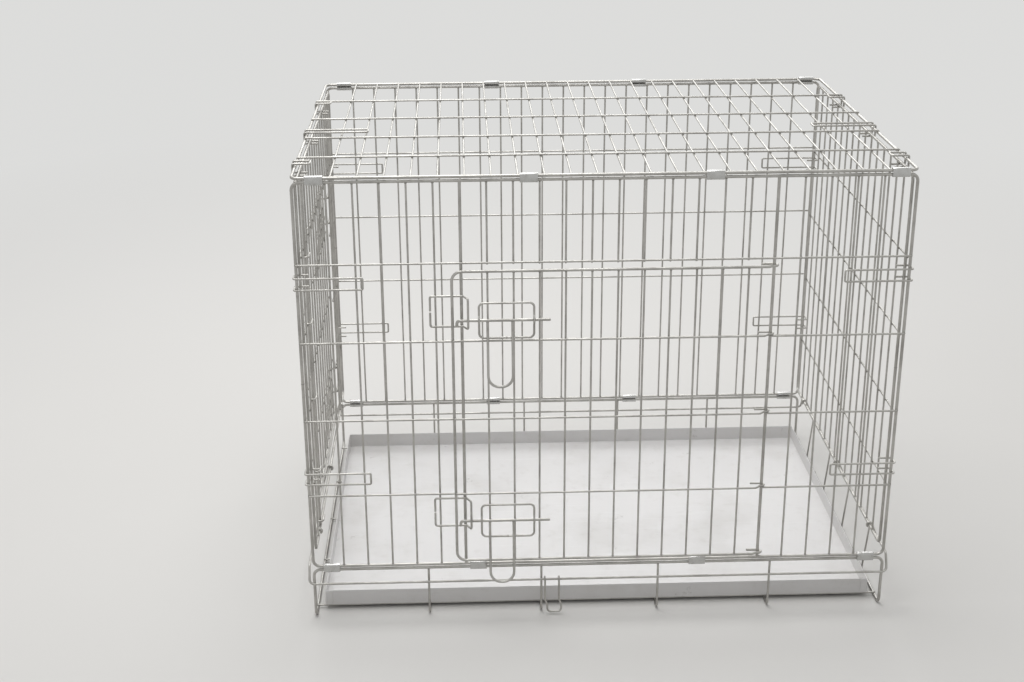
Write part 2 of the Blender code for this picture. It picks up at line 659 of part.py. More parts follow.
def main():
    clear_scene()
    steel = finish("zinc_wire", (0.62, 0.62, 0.60), 0.38, 1.0)
    bright = finish("bright_zinc", (0.75, 0.75, 0.74), 0.25, 1.0)
    paint = finish("tray_paint", (0.66, 0.66, 0.67), 0.45, 0.0)

    front = Matrix.Translation((0, -DEPTH / 2, 0))
    back = Matrix.Translation((0, DEPTH / 2, 0)) @ Matrix.Rotation(pi, 4, "Z")
    left = Matrix.Translation((-END_PLANE, 0, 0)) @ Matrix.Rotation(-pi / 2, 4, "Z")
    right = Matrix.Translation((END_PLANE, 0, 0)) @ Matrix.Rotation(pi / 2, 4, "Z")
    above = Matrix.Translation((0, 0, TOP_LEVEL)) @ Matrix.Rotation(-pi / 2, 4, "X")

    base_frame(steel)
    half = WIDTH / 2
    bars = [FRONT_BOTTOM + height for height in BAR_HEIGHTS]
    end_bars = [bar - END_BAR_DROP for bar in bars]
    front_panel = wall_panel("front_panel", half, FRONT_BOTTOM, FRONT_TOP, LONG_WIRES, bars, steel,
                             FRONT_POST_NUMBERS)
    carry(front_panel, front)
    carry(wall_panel("back_panel", half, FRONT_BOTTOM, FRONT_TOP, LONG_WIRES, bars, steel), back)
    top_panel = wall_panel("top_panel", half, -DEPTH / 2, DEPTH / 2, LONG_WIRES, TOP_BARS, steel,
                           shift=TOP_WIRE_SHIFT)
    carry(top_panel, above)

    left_level = RIM_HEIGHT + LEFT_HINGE_RISE
    right_level = RIM_HEIGHT + RIGHT_HINGE_RISE
    left_hinge = pivot("left_end_hinge", (-END_PLANE, 0, left_level))
    right_hinge = pivot("right_end_hinge", (END_PLANE, 0, right_level))
    left_end = wall_panel("left_end_panel", END_HALF_WIDTH, left_level, END_TOP, END_WIRES, end_bars, steel,
                          END_POST_NUMBERS)
    carry(left_end, left, left_hinge)
    right_end = wall_panel("right_end_panel", END_HALF_WIDTH, right_level, END_TOP, END_WIRES, end_bars,
                           steel)
    carry(right_end, right, right_hinge)

    front_post = upright_place(FRONT_POST_NUMBERS[1], LONG_WIRES)
    end_post = upright_place(END_POST_NUMBERS[1], END_WIRES)
    front_bays = FRONT_POST_NUMBERS[1] - FRONT_POST_NUMBERS[0]
    end_bays = END_POST_NUMBERS[1] - END_POST_NUMBERS[0]
    front_place = front @ Matrix.Translation((front_post, 0, 0))
    end_place = left @ Matrix.Translation((end_post, 0, 0))
    doorway_set("front_door", front_place, front_bays, FRONT_BOTTOM, bars, None, steel)
    doorway_set("end_door", end_place, end_bays, left_level, end_bars, left_hinge, steel)

    walls = {"front": front, "back": back}
    end_side = DEPTH / 2 - END_HALF_WIDTH
    for wall, place in walls.items():
        for label, side in (("left", -1), ("right", 1)):
            local_side = side if wall == "front" else -side
            for height, level in zip(LATCH_NAMES, HOOK_HEIGHTS):
                name = f"{wall}_{label}_{height}_hook"
                middle = FRONT_BOTTOM + level
                carry(corner_hook(name, local_side, middle, HOOK_LENGTH, end_side, steel), place)
    top_return = TOP_LEVEL - END_TOP
    for label, side in (("left", -1), ("right", 1)):
        name = f"top_{label}_hook"
        carry(corner_hook(name, side, TOP_HOOK_PLACE, HOOK_LENGTH, top_return, steel), above)
        for spot, place in SHORT_HOOK_PLACES.items():
            name = f"top_{label}_{spot}_short_hook"
            carry(corner_hook(name, side, place, SHORT_HOOK_LENGTH, top_return, steel), above)

    for row, middle_bays in MIDDLE_CLIP_BAYS.items():
        level, wall = row.split("_")
        height = (RIM_HEIGHT + FRONT_BOTTOM) / 2
        shift = 0.0
        if level == "top":
            height = (FRONT_TOP + TOP_LEVEL) / 2
            shift = TOP_WIRE_SHIFT / 2
        turn = 1 if wall == "front" else -1
        for number, bay in enumerate((-LAST_BAY, *middle_bays, LAST_BAY), 1):
            middle = (turn * (bay * PITCH + shift), 0, height)
            carry(clip(f"{row}_clip_{number}", middle, bright), walls[wall])

    hook_place = Vector((SWING_HOOK_PLACE, -RAIL_PLANE, RAIL_LEVEL))
    swing = pivot("swing_hook_pivot", hook_place)
    carry(swing_hook(steel), Matrix.Translation(hook_place), swing)
    slide = pivot("tray_slide", (0, 0, TRAY_BOTTOM))
    carry(tray(paint), Matrix.Identity(4), slide)
    stand_on_origin()


main()
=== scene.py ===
"""Dresses a folding wire dog crate: welded zinc-plated wire, sheet clips, slide latches and a painted tray.

Sizes are in metres. The crate is modelled about the middle of its floor, as in the drawings of such a
crate, and each finished piece is then moved onto the frame.
"""
import json
from math import atan2, cos, pi, radians, sin, sqrt, tan

import bpy
from mathutils import Matrix, Vector

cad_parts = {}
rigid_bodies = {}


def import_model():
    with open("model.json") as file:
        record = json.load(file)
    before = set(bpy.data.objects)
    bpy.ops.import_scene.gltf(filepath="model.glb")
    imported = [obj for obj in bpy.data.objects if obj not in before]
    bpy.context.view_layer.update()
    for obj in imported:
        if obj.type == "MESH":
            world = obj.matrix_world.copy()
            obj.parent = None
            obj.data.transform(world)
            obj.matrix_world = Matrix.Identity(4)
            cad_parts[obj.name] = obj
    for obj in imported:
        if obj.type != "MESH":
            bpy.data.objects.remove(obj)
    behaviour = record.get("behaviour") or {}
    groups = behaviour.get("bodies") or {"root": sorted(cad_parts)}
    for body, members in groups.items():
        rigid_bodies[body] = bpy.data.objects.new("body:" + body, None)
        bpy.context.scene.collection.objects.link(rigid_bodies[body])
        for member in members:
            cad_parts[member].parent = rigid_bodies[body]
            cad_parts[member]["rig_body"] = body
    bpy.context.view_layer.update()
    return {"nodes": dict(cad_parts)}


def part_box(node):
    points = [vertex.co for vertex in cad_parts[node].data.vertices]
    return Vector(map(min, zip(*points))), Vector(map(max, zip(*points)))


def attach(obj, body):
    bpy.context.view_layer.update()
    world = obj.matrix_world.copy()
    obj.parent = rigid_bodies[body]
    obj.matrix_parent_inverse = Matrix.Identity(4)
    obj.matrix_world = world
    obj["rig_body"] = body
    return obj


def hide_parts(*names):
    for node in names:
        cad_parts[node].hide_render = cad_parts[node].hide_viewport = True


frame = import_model()

bl_info = {
    "name": "Folding Wire Dog Crate",
    "version": (1, 0, 0),
    "blender": (4, 5, 0),
    "location": "View3D > Sidebar > Dog Crate",
    "description": "Models the welded wire, clips, latches and tray of a folding dog crate",
    "category": "Add Mesh",
}

# Overall sizes between wire centres
WIDTH = 0.760
DEPTH = 0.544
PANEL_HEIGHT = 0.524
RIM_HEIGHT = 0.0720
PITCH = 0.03235
STACK_GAP = 0.0010

# Wire diameters
FRAME = 0.0040
INNER = 0.0026
DOOR = 0.0036
RAIL = 0.0032
FOOT = 0.0030
KEEPER = 0.0028
BOLT = 0.0038
HANDLE = 0.0034

# Panels
LONG_WIRES = 22
END_WIRES = 15
BAR_HEIGHTS = (0.1045, 0.2106, 0.3170, 0.4200)
PANEL_CORNER = 0.009
FRONT_POSTS = (6, 18)
END_POSTS = (2, 14)
TOP_BARS = (-0.182, -0.080, 0.029, 0.142)
TOP_WIRE_SHIFT = 0.006
END_INSET = 0.0035
END_BAR_DROP = 0.005
END_TOP_DROP = 0.0025
RIGHT_HINGE_RISE = 0.0165
LEFT_HINGE_RISE = 0.0245

# Base
RAIL_DROP = 0.0205
RAIL_OVERLAP = 0.0005
RAIL_BULGE = 0.0065
RAIL_CORNER = 0.0064
END_RAIL_RISE = 0.0020
FOOT_PLACES = (-0.228, -0.078, 0.078, 0.228)
FLOOR_WIRES = 5
FLOOR_WIRE_SPACING = 0.124
FLOOR_WIRE_OVERLAP = 0.0004
STOP_WIRES = 4
STOP_SPACING = 0.120
HINGE_EYE_BAYS = (-6.5, -0.5, 6.5)
EYE_END = radians(240)

# Doors
DOOR_LAP = 0.0116
DOOR_OFFSET = 0.0074
DOOR_BOTTOM_RISE = 0.0085
DOOR_TOP_DROP = 0.0095
DOOR_BAR_RISE = 0.0030
DOOR_CORNER = 0.012
HOOK_TAPER = 0.0025
HOOK_TAIL = 0.014
HOOK_BEND = 0.004

# Latches
LATCH_HEIGHTS = {"lower": 0.0685, "upper": 0.3475}
KEEPER_BEHIND = 0.0391
KEEPER_AHEAD = 0.0079
KEEPER_BEND = 0.0060
KEEPER_ABOVE = 0.0300
KEEPER_BELOW = 0.0100
KEEPER_CUT = 0.0020
GUIDE_START = 0.0214
GUIDE_WIDTH = 0.0685
GUIDE_ABOVE = 0.0225
GUIDE_BELOW = 0.0235
GUIDE_CORNER = 0.006
GUIDE_KINK = 0.0034
KINK_BEND = 0.0020
BOLT_BEHIND = 0.0061
BOLT_LENGTH = 0.116
HANDLE_START = 0.0320
HANDLE_WIDTH = 0.0310
HANDLE_LENGTH = 0.086
HANDLE_CORNER = 0.014
LOOP_BEAD = (1.0, 0.6, 1.0)
HANDLE_BEAD = (1.3, 1.1, 0.8)

# Clips and hooks
CLIP_LENGTH = 0.022
CLIP_SHEET = 0.0010
CLIP_MOUTH = 0.0024
CLIP_CORNER = 0.0012
CLIP_BAYS = {
    "base_front": (-11, -5, 4, 11),
    "base_back": (-11, -4, 3, 11),
    "top_front": (-11, -3, 4, 11),
    "top_back": (-11, -4, 3, 11),
}
HOOK_SPREAD = 0.015
HOOK_LENGTH = 0.0846
SHORT_HOOK_LENGTH = 0.0216
HOOK_RETURN = 0.0171
HOOK_HEIGHTS = {"lower": 0.1290, "upper": 0.3955}
TOP_HOOK_PLACE = -0.046
SHORT_HOOK_PLACES = {"front": -0.209, "back": 0.1316}
HOOK_CORNER = 0.0020
SWING_HOOK_PLACE = -0.0641
SWING_HOOK_WIDTH = 0.0187
SWING_HOOK_LENGTH = 0.0480
SWING_HOOK_PUSH = 0.0032
SWING_HOOK_PUSH_START = 0.0290
SWING_HOOK_PUSH_END = 0.0370
SWING_EYE_START = radians(-60)
SWING_EYE_TURN = radians(240)

# Tray
TRAY_LENGTH = 0.737
TRAY_WIDTH = 0.504
TRAY_HEIGHT = 0.022
TRAY_SHEET = 0.0009
TRAY_FOLD = 0.0012
TRAY_TAB = 0.0090
TRAY_TAB_DROP = 0.0010

# Soft edges of cut sheet
SHEET_EDGE = 0.0002

# Gaps between pieces
CLEARANCE = 0.0003
SNAP_CLEARANCE = 0.0004
HINGE_CLEARANCE = 0.00035
SWING_CLEARANCE = 0.0005
CROSSING_GAP = 0.0001

# Butt welds, where a bent wire's two ends meet
BUTT_LENGTH = 0.0018
BUTT_SWELL = 1.14

# Weld beads: the radius where two wires cross, and how far a bead stretches along each axis
WELD_RADIUS = 0.00155
CROSSING_BEAD = (1.0, 0.8, 1.0)
BORDER_BEAD = (1.15, 1.2, 0.75)
BAR_END_BEAD = (1.1, 0.9, 1.1)
DOOR_BORDER_BEAD = (1.1, 1.1, 0.75)
FOOT_BEAD = (1.0, 1.25, 1.0)
FLOOR_BEAD = (1.0, 1.0, 0.7)
FLOOR_END_BEAD = (1.3, 1.0, 1.0)
STOP_TOP_BEAD = (1.1, 1.0, 1.1)
STOP_FOOT_BEAD = (1.0, 1.0, 1.0)
EYE_BEAD = (1.1, 1.1, 1.1)

# How finely wires are drawn
SIDES = 14
BEND_STEP = radians(15)
BEND_REACH = 0.95
TIP_SHARE = 0.62
TIP_LENGTH = 0.30
SEAM_MERGE = 0.00001
SHARP = radians(40)
BEAD_SEGMENTS = 10
BEAD_RINGS = 6

# Camera
CAMERA_PLACE = (-0.1681, -2.0489, 1.0885)
CAMERA_YAW = 0.0328
CAMERA_PITCH = 0.37149
CAMERA_ROLL = -0.00581
FOCAL_LENGTH = 53.73
SENSOR_WIDTH = 36.0
NEAREST_VIEW = 0.05

# Floor and lamps
FLOOR_SIZE = 12.0
FLOOR_DROP = 0.0004
FLOOR_SHADE = 0.95
FLOOR_ROUGHNESS = 0.85
FADE_START = 0.9
FADE_END = 2.6
LAMP_AIM = (0.0, 0.0, 0.3)
CEILING_LAMP = (-0.5, 0.2, 2.8)
CEILING_SIZE = (2.2, 2.2)
BACK_LAMP = (0.4, 3.4, 2.3)
BACK_SIZE = (4.6, 2.0)
WHITE = (1.0, 1.0, 1.0, 1.0)

X, Y, Z = Vector((1, 0, 0)), Vector((0, 1, 0)), Vector((0, 0, 1))


class CrateWire(bpy.types.PropertyGroup):
    """Diameters of the wires and sizes of the welds."""

    frame: bpy.props.FloatProperty(
        name="Frame wire", description="Diameter of the panels' border wires and the rim", default=FRAME,
        min=0.003, max=0.006, precision=4, unit="LENGTH")
    inner: bpy.props.FloatProperty(
        name="Grid wire", description="Diameter of the uprights, bars and hooks", default=INNER,
        min=0.002, max=0.004, precision=4, unit="LENGTH")
    door: bpy.props.FloatProperty(
        name="Door wire", description="Diameter of the doors' border wires", default=DOOR,
        min=0.002, max=0.005, precision=4, unit="LENGTH")
    rail: bpy.props.FloatProperty(
        name="Rail wire", description="Diameter of the second rail of the base", default=RAIL,
        min=0.002, max=0.005, precision=4, unit="LENGTH")
    foot: bpy.props.FloatProperty(
        name="Foot wire", description="Diameter of the wires that run down to the floor", default=FOOT,
        min=0.002, max=0.005, precision=4, unit="LENGTH")
    keeper: bpy.props.FloatProperty(
        name="Latch loop wire", description="Diameter of the latch keepers and guides", default=KEEPER,
        min=0.002, max=0.004, precision=4, unit="LENGTH")
    bolt: bpy.props.FloatProperty(
        name="Bolt rod", description="Diameter of the sliding bolts", default=BOLT,
        min=0.003, max=0.005, precision=4, unit="LENGTH")
    handle: bpy.props.FloatProperty(
        name="Handle wire", description="Diameter of the finger loops", default=HANDLE,
        min=0.002, max=0.005, precision=4, unit="LENGTH")
    weld: bpy.props.FloatProperty(
        name="Weld radius", description="Half the width of the bead where two wires cross",
        default=WELD_RADIUS, min=0.001, max=0.003, precision=5, unit="LENGTH")


class CrateFinish(bpy.types.PropertyGroup):
    """Colours of the metal and the paint."""

    zinc: bpy.props.FloatVectorProperty(
        name="Zinc wire", description="Colour of the plated wire", default=(0.50, 0.49, 0.465),
        min=0.0, max=1.0, subtype="COLOR")
    dull_zinc: bpy.props.FloatVectorProperty(
        name="Dulled zinc", description="Colour of the plating where it has gone dull",
        default=(0.36, 0.35, 0.33), min=0.0, max=1.0, subtype="COLOR")
    weld: bpy.props.FloatVectorProperty(
        name="Weld", description="Colour of the beads where wires are welded", default=(0.33, 0.32, 0.30),
        min=0.0, max=1.0, subtype="COLOR")
    clip: bpy.props.FloatVectorProperty(
        name="Clip zinc", description="Colour of the brighter sheet clips", default=(0.54, 0.54, 0.53),
        min=0.0, max=1.0, subtype="COLOR")
    paint: bpy.props.FloatVectorProperty(
        name="Tray paint", description="Colour of the painted tray", default=(0.72, 0.71, 0.705),
        min=0.0, max=1.0, subtype="COLOR")
    grime: bpy.props.FloatVectorProperty(
        name="Tray grime", description="Colour of the dust and stains in the tray",
        default=(0.50, 0.48, 0.44), min=0.0, max=1.0, subtype="COLOR")
    scuff: bpy.props.FloatVectorProperty(
        name="Tray scuffs", description="Colour of the paint where it is rubbed", default=(0.80, 0.80, 0.80),
        min=0.0, max=1.0, subtype="COLOR")


class CrateStage(bpy.types.PropertyGroup):
    """The floor, the lamps and the background."""

    floor: bpy.props.FloatVectorProperty(
        name="Floor", description="Colour of the floor", default=(0.72, 0.71, 0.69),
        min=0.0, max=1.0, subtype="COLOR")
    backdrop: bpy.props.FloatVectorProperty(
        name="Background", description="Colour behind the crate", default=(0.72, 0.72, 0.71),
        min=0.0, max=1.0, subtype="COLOR")
    fill: bpy.props.FloatProperty(
        name="Fill light", description="Strength of the light from all round", default=0.38,
        min=0.0, max=2.0)
    key: bpy.props.FloatProperty(
        name="Ceiling light", description="Power of the large lamp overhead", default=48.0,
        min=0.0, max=500.0, unit="POWER")
    back: bpy.props.FloatProperty(
        name="Back light", description="Power of the wide lamp high behind the crate", default=52.0,
        min=0.0, max=500.0, unit="POWER")


def finish_colours():
    return bpy.context.scene.crate_finish


# Shader maths


class Socket:
    """A shader value that Python's arithmetic joins with Math nodes."""

    def __init__(self, nodes, socket):
        self.nodes = nodes
        self.socket = socket

    def __add__(self, other):
        return self.nodes.math_node("ADD", self, other)

    def __radd__(self, other):
        return self.nodes.math_node("ADD", other, self)

    def __sub__(self, other):
        return self.nodes.math_node("SUBTRACT", self, other)

    def __rsub__(self, other):
        return self.nodes.math_node("SUBTRACT", other, self)

    def __mul__(self, other):
        return self.nodes.math_node("MULTIPLY", self, other)

    def __rmul__(self, other):
        return self.nodes.math_node("MULTIPLY", other, self)


class Node:
    """One node, with its outputs by name."""

    def __init__(self, nodes, made):
        self.nodes = nodes
        self.made = made

    def out(self, name):
        return Socket(self.nodes, self.made.outputs[name])


class Nodes:
    """The nodes of a material or of the world."""

    def __init__(self, tree):
        self.tree = tree

    def node(self, kind, settings=None, sockets=None):
        made = self.tree.nodes.new(kind)
        for name, value in (settings or {}).items():
            setattr(made, name, value)
        for name, value in (sockets or {}).items():
            self.feed(made.inputs[name], value)
        return Node(self, made)

    def feed(self, socket, value):
        if isinstance(value, Socket):
            self.tree.links.new(value.socket, socket)
        else:
            socket.default_value = value

    def math_node(self, operation, first, second):
        return self.node("ShaderNodeMath", {"operation": operation}, {0: first, 1: second}).out("Value")

    def seen(self):
        """1 for the eye and for reflections, 0 for the light that falls on the crate."""
        path = self.node("ShaderNodeLightPath")
        return self.math_node("MAXIMUM", path.out("Is Camera Ray"), path.out("Is Glossy Ray"))

    def mix_shaders(self, share, first, second, end):
        """Feed the mix of two shaders to the tree's last node."""
        mixed = self.node("ShaderNodeMixShader", {}, {"Fac": share, 1: first, 2: second}).out("Shader")
        self.feed(self.tree.nodes[end].inputs["Surface"], mixed)


class Finish(Nodes):
    """A material that is being made."""

    def __init__(self, name):
        self.material = bpy.data.materials.new(name)
        self.material.use_nodes = True
        super().__init__(self.material.node_tree)
        self.shader = self.tree.nodes["Principled BSDF"]
        self.place = self.node("ShaderNodeTexCoord").out("Object")

    def principled(self):
        return Socket(self, self.shader.outputs["BSDF"])

    def set(self, **values):
        for name, value in values.items():
            self.feed(self.shader.inputs[name.replace("_", " ")], value)

    def noise(self, scale, detail=3.0, roughness=0.5, place=None):
        sockets = {"Vector": place or self.place, "Scale": scale, "Detail": detail, "Roughness": roughness}
        return self.node("ShaderNodeTexNoise", {}, sockets).out("Fac")

    def stretched(self, scale):
        """The place on the piece, stretched by an amount along each axis."""
        return self.node("ShaderNodeMapping", {}, {"Vector": self.place, "Scale": scale}).out("Vector")

    def mask(self, value, low, high):
        """A value turned into a mask that climbs from 0 at low to 1 at high."""
        sockets = {"Value": value, "From Min": low, "From Max": high}
        return self.node("ShaderNodeMapRange", {}, sockets).out("Result")

    def blend(self, share, first, second):
        """A colour between two others."""
        sockets = {"Factor": share, 6: (*first, 1.0) if isinstance(first, tuple) else first,
                   7: (*second, 1.0) if isinstance(second, tuple) else second}
        return self.node("ShaderNodeMix", {"data_type": "RGBA"}, sockets).out(2)

    def bump(self, height, strength, distance):
        sockets = {"Height": height, "Strength": strength, "Distance": distance}
        self.set(Normal=self.node("ShaderNodeBump", {}, sockets).out("Normal"))


def zinc_wire_finish():
    """Plated wire: satin, mottled where it has gone dull, with fine dark specks."""
    colours = finish_colours()
    made = Finish("plated_wire")
    clouds = made.noise(30.0, 4.0, 0.6)
    specks = made.noise(240.0, 2.0)
    dulled = made.mask(clouds, 0.40, 0.70)
    spotted = made.mask(specks, 0.56, 0.74)
    colour = made.blend(dulled, tuple(colours.zinc), tuple(colours.dull_zinc))
    colour = made.blend(spotted * 0.22, colour, tuple(colours.weld))
    made.set(Base_Color=colour, Metallic=1.0, Roughness=0.34 + dulled * 0.10 + spotted * 0.05)
    made.bump(specks, 0.10, 0.0002)
    return made.material


def weld_finish():
    """The bead where two wires are welded: duller, darker and rougher than the wire."""
    colours = finish_colours()
    made = Finish("wire_weld")
    grain = made.noise(900.0, 3.0, 0.7)
    colour = made.blend(made.mask(grain, 0.35, 0.7), tuple(colours.weld), tuple(colours.dull_zinc))
    made.set(Base_Color=colour, Metallic=0.9, Roughness=0.42 + grain * 0.25)
    made.bump(grain, 0.5, 0.0004)
    return made.material


def clip_finish():
    """Bright plated sheet with fine scratches along it."""
    colours = finish_colours()
    made = Finish("plated_sheet")
    scratches = made.noise(1.0, 3.0, 0.6, made.stretched((60.0, 1500.0, 1500.0)))
    smears = made.mask(made.noise(160.0, 3.0), 0.45, 0.7)
    colour = made.blend(smears * 0.4, tuple(colours.clip), tuple(colours.dull_zinc))
    made.set(Base_Color=colour, Metallic=1.0, Roughness=0.18 + scratches * 0.10 + smears * 0.08)
    made.bump(scratches, 0.06, 0.0002)
    return made.material


def tray_finish():
    """Pale satin paint on sheet steel, dusty and stained where a dog has lain, with a slight orange peel."""
    colours = finish_colours()
    made = Finish("tray_enamel")
    peel = made.noise(420.0, 2.0)
    stains = made.mask(made.noise(7.0, 6.0, 0.62), 0.50, 0.78)
    dust = made.mask(made.noise(55.0, 5.0, 0.65), 0.55, 0.80)
    marks = made.mask(made.noise(26.0, 5.0, 0.7), 0.66, 0.72)
    scuffs = made.mask(made.noise(1.0, 4.0, 0.6, made.stretched((9.0, 160.0, 60.0))), 0.60, 0.74)
    colour = made.blend(stains * 0.35, tuple(colours.paint), tuple(colours.grime))
    colour = made.blend(dust * 0.25, colour, tuple(colours.grime))
    colour = made.blend(marks * 0.55, colour, tuple(colours.dull_zinc))
    colour = made.blend(scuffs * 0.30, colour, tuple(colours.scuff))
    made.set(Base_Color=colour, Metallic=0.0, Roughness=0.40 + stains * 0.18 + marks * 0.15 - scuffs * 0.08)
    made.bump(peel, 0.12, 0.0004)
    return made.material


FINISHES = {"plated_wire": zinc_wire_finish, "wire_weld": weld_finish, "plated_sheet": clip_finish,
            "tray_enamel": tray_finish}


def material(name):
    """One of the crate's finishes, made when it is first asked for."""
    return bpy.data.materials.get(name) or FINISHES[name]()


# Modelling


def deselect():
    bpy.ops.object.select_all(action="DESELECT")


def route(points, bend, closed=False):
    """The start, the heading, and the straight runs and bends that lead through the corners.

    bend is one radius for all corners or a list with one for each."""
    points = [Vector(point) for point in points]
    bends = list(bend) if isinstance(bend, (list, tuple)) else [bend] * len(points)
    if closed:
        seam = (points[0] + points[-1]) / 2
        points = [seam, *points, seam]
    elif len(bends) == len(points):
        bends = bends[1:-1]
    steps = []
    place = points[0]
    for before, corner, after, radius in zip(points, points[1:], points[2:], bends):
        arriving = (corner - before).normalized()
        leaving = (after - corner).normalized()
        angle = arriving.angle(leaving)
        nearest = min((corner - place).length, (after - corner).length / 2)
        reach = min(radius * tan(angle / 2), nearest * BEND_REACH)
        steps.append(((corner - arriving * reach - place).length,))
        steps.append((reach / tan(angle / 2), angle, arriving.cross(leaving).normalized()))
        place = corner + leaving * reach
    steps.append(((points[-1] - place).length,))
    return points[0], (points[1] - points[0]).normalized(), steps


def follow(place, heading, steps):
    """Extrude what is selected along the straight runs and spin it round the bends."""
    for step in steps:
        if len(step) == 1:
            run = heading * step[0]
            bpy.ops.mesh.extrude_region_move(TRANSFORM_OT_translate={"value": run})
            place = place + run
            continue
        radius, angle, axis = step
        centre = place + axis.cross(heading) * radius
        count = max(2, round(angle / BEND_STEP))
        bpy.ops.mesh.spin(steps=count, angle=-angle, center=centre, axis=axis, use_auto_merge=False)
        turn = Matrix.Rotation(angle, 3, axis)
        place = centre + turn @ (place - centre)
        heading = turn @ heading
    return place, heading


def rim_step(place, heading, share, length):
    """Pull the selected end on by a short length while it widens or narrows, for a wire's rounded tip."""
    run = heading * length
    bpy.ops.mesh.extrude_region_move(TRANSFORM_OT_translate={"value": run})
    bpy.ops.transform.resize(value=(share, share, share), center_override=place + run)
    return place + run


def drawn_wire(path, kind, closed=False):
    """One wire of a kind named in the settings, drawn along its path. An open one has rounded tips."""
    start, heading, steps = path
    diameter = getattr(bpy.context.scene.crate_wire, kind)
    tip = 0.0 if closed else diameter / 2 * TIP_LENGTH
    start = start - heading * tip
    turned = heading.to_track_quat("Z", "Y").to_euler()
    deselect()
    if closed:
        bpy.ops.mesh.primitive_circle_add(
            vertices=SIDES, radius=diameter / 2, fill_type="NOTHING", location=start, rotation=turned)
    else:
        bpy.ops.mesh.primitive_circle_add(
            vertices=SIDES, radius=diameter / 2 * TIP_SHARE, fill_type="NGON", location=start,
            rotation=turned)
    wire = bpy.context.object
    bpy.ops.object.transform_apply(location=True, rotation=True, scale=True)
    bpy.ops.object.mode_set(mode="EDIT")
    bpy.ops.mesh.select_all(action="SELECT")
    if closed:
        follow(start, heading, steps)
        bpy.ops.mesh.select_all(action="SELECT")
        bpy.ops.mesh.remove_doubles(threshold=SEAM_MERGE)
    else:
        place = rim_step(start, heading, 1 / TIP_SHARE, tip)
        place, heading = follow(place, heading, steps)
        rim_step(place, heading, TIP_SHARE, tip)
    bpy.ops.mesh.select_all(action="SELECT")
    bpy.ops.mesh.normals_make_consistent(inside=False)
    bpy.ops.object.mode_set(mode="OBJECT")
    wire.data.materials.append(material("plated_wire"))
    return wire


def straight_wire(start, end, kind):
    return drawn_wire(route([start, end], 0.0), kind)


def row_of(piece, count, step):
    """The piece repeated in a row."""
    row = piece.modifiers.new("Row", "ARRAY")
    row.count = count
    row.use_relative_offset = False
    row.use_constant_offset = True
    row.constant_offset_displace = step
    deselect()
    piece.select_set(True)
    bpy.context.view_layer.objects.active = piece
    bpy.ops.object.modifier_apply(modifier=row.name)
    return piece


def weld_bead(place, stretch):
    """A small bead where two wires are welded, stretched along each axis."""
    size = bpy.context.scene.crate_wire.weld
    deselect()
    bpy.ops.mesh.primitive_uv_sphere_add(
        segments=BEAD_SEGMENTS, ring_count=BEAD_RINGS, radius=size, location=place, scale=stretch)
    bpy.ops.object.transform_apply(location=True, rotation=True, scale=True)
    bead = bpy.context.object
    bead.data.materials.append(material("wire_weld"))
    return bead


def butt_weld(place, diameter, along):
    """The swollen ring where the two ends of a bent wire meet."""
    size = bpy.context.scene.crate_wire.weld
    swell = diameter / 2 * BUTT_SWELL / size
    return weld_bead(place, [swell + (BUTT_LENGTH / size - swell) * part for part in along])


def put(name, parts, node, place=Matrix.Identity(4)):
    """Join the parts into one piece, move it onto the frame and let it stand for its solid there."""
    deselect()
    for part in parts:
        part.select_set(True)
    bpy.context.view_layer.objects.active = parts[0]
    if len(parts) > 1:
        bpy.ops.object.join()
    piece = bpy.context.object
    piece.name = name
    piece.data.name = name
    piece.matrix_world = FRAME_PLACE @ place
    bpy.ops.object.transform_apply(location=True, rotation=True, scale=True)
    bpy.ops.object.shade_smooth_by_angle(angle=SHARP)
    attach(piece, frame["nodes"][node]["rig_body"])
    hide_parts(node)
    return piece


# Places that follow from the sizes

TRAY_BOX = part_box("tray")


def upright_place(number, count):
    """How far an upright stands from the middle of its panel."""
    return (number - (count + 1) / 2) * PITCH


FRONT_BOTTOM = RIM_HEIGHT + FRAME + STACK_GAP
FRONT_TOP = FRONT_BOTTOM + PANEL_HEIGHT
TOP_LEVEL = FRONT_TOP + FRAME + STACK_GAP
BAR_OFFSET = INNER + CROSSING_GAP
DOOR_BAR_OFFSET = DOOR_OFFSET + BAR_OFFSET
END_HALF_WIDTH = DEPTH / 2 - FRAME - HINGE_CLEARANCE - DOOR - SWING_CLEARANCE
END_PLANE = WIDTH / 2 - END_INSET
END_TOP = FRONT_TOP - END_TOP_DROP
DOOR_UPRIGHTS = FRONT_POSTS[1] - FRONT_POSTS[0] - 1
LATCH_POST = -(DOOR_UPRIGHTS + 1) * PITCH
KEEPER_OFFSET = FRAME / 2 + CLEARANCE + KEEPER / 2
BOLT_OFFSET = DOOR_OFFSET + INNER / 2 + CLEARANCE + BOLT / 2
GUIDE_OFFSET = DOOR_OFFSET + INNER / 2 + CLEARANCE + KEEPER / 2
KEEPER_BAR_OFFSET = BOLT_OFFSET + BOLT / 2 + SNAP_CLEARANCE + KEEPER / 2
HOOK_ARM_OFFSET = FRAME / 2 + SNAP_CLEARANCE + INNER / 2
RAIL_LEVEL = RIM_HEIGHT - RAIL_DROP
RAIL_PLANE = DEPTH / 2 + FOOT / 2 + RAIL / 2 - RAIL_OVERLAP
FLOOR_WIRE_LEVEL = FOOT + INNER / 2 - FLOOR_WIRE_OVERLAP
TRAY_BOTTOM = FLOOR_WIRE_LEVEL + INNER / 2 + CLEARANCE

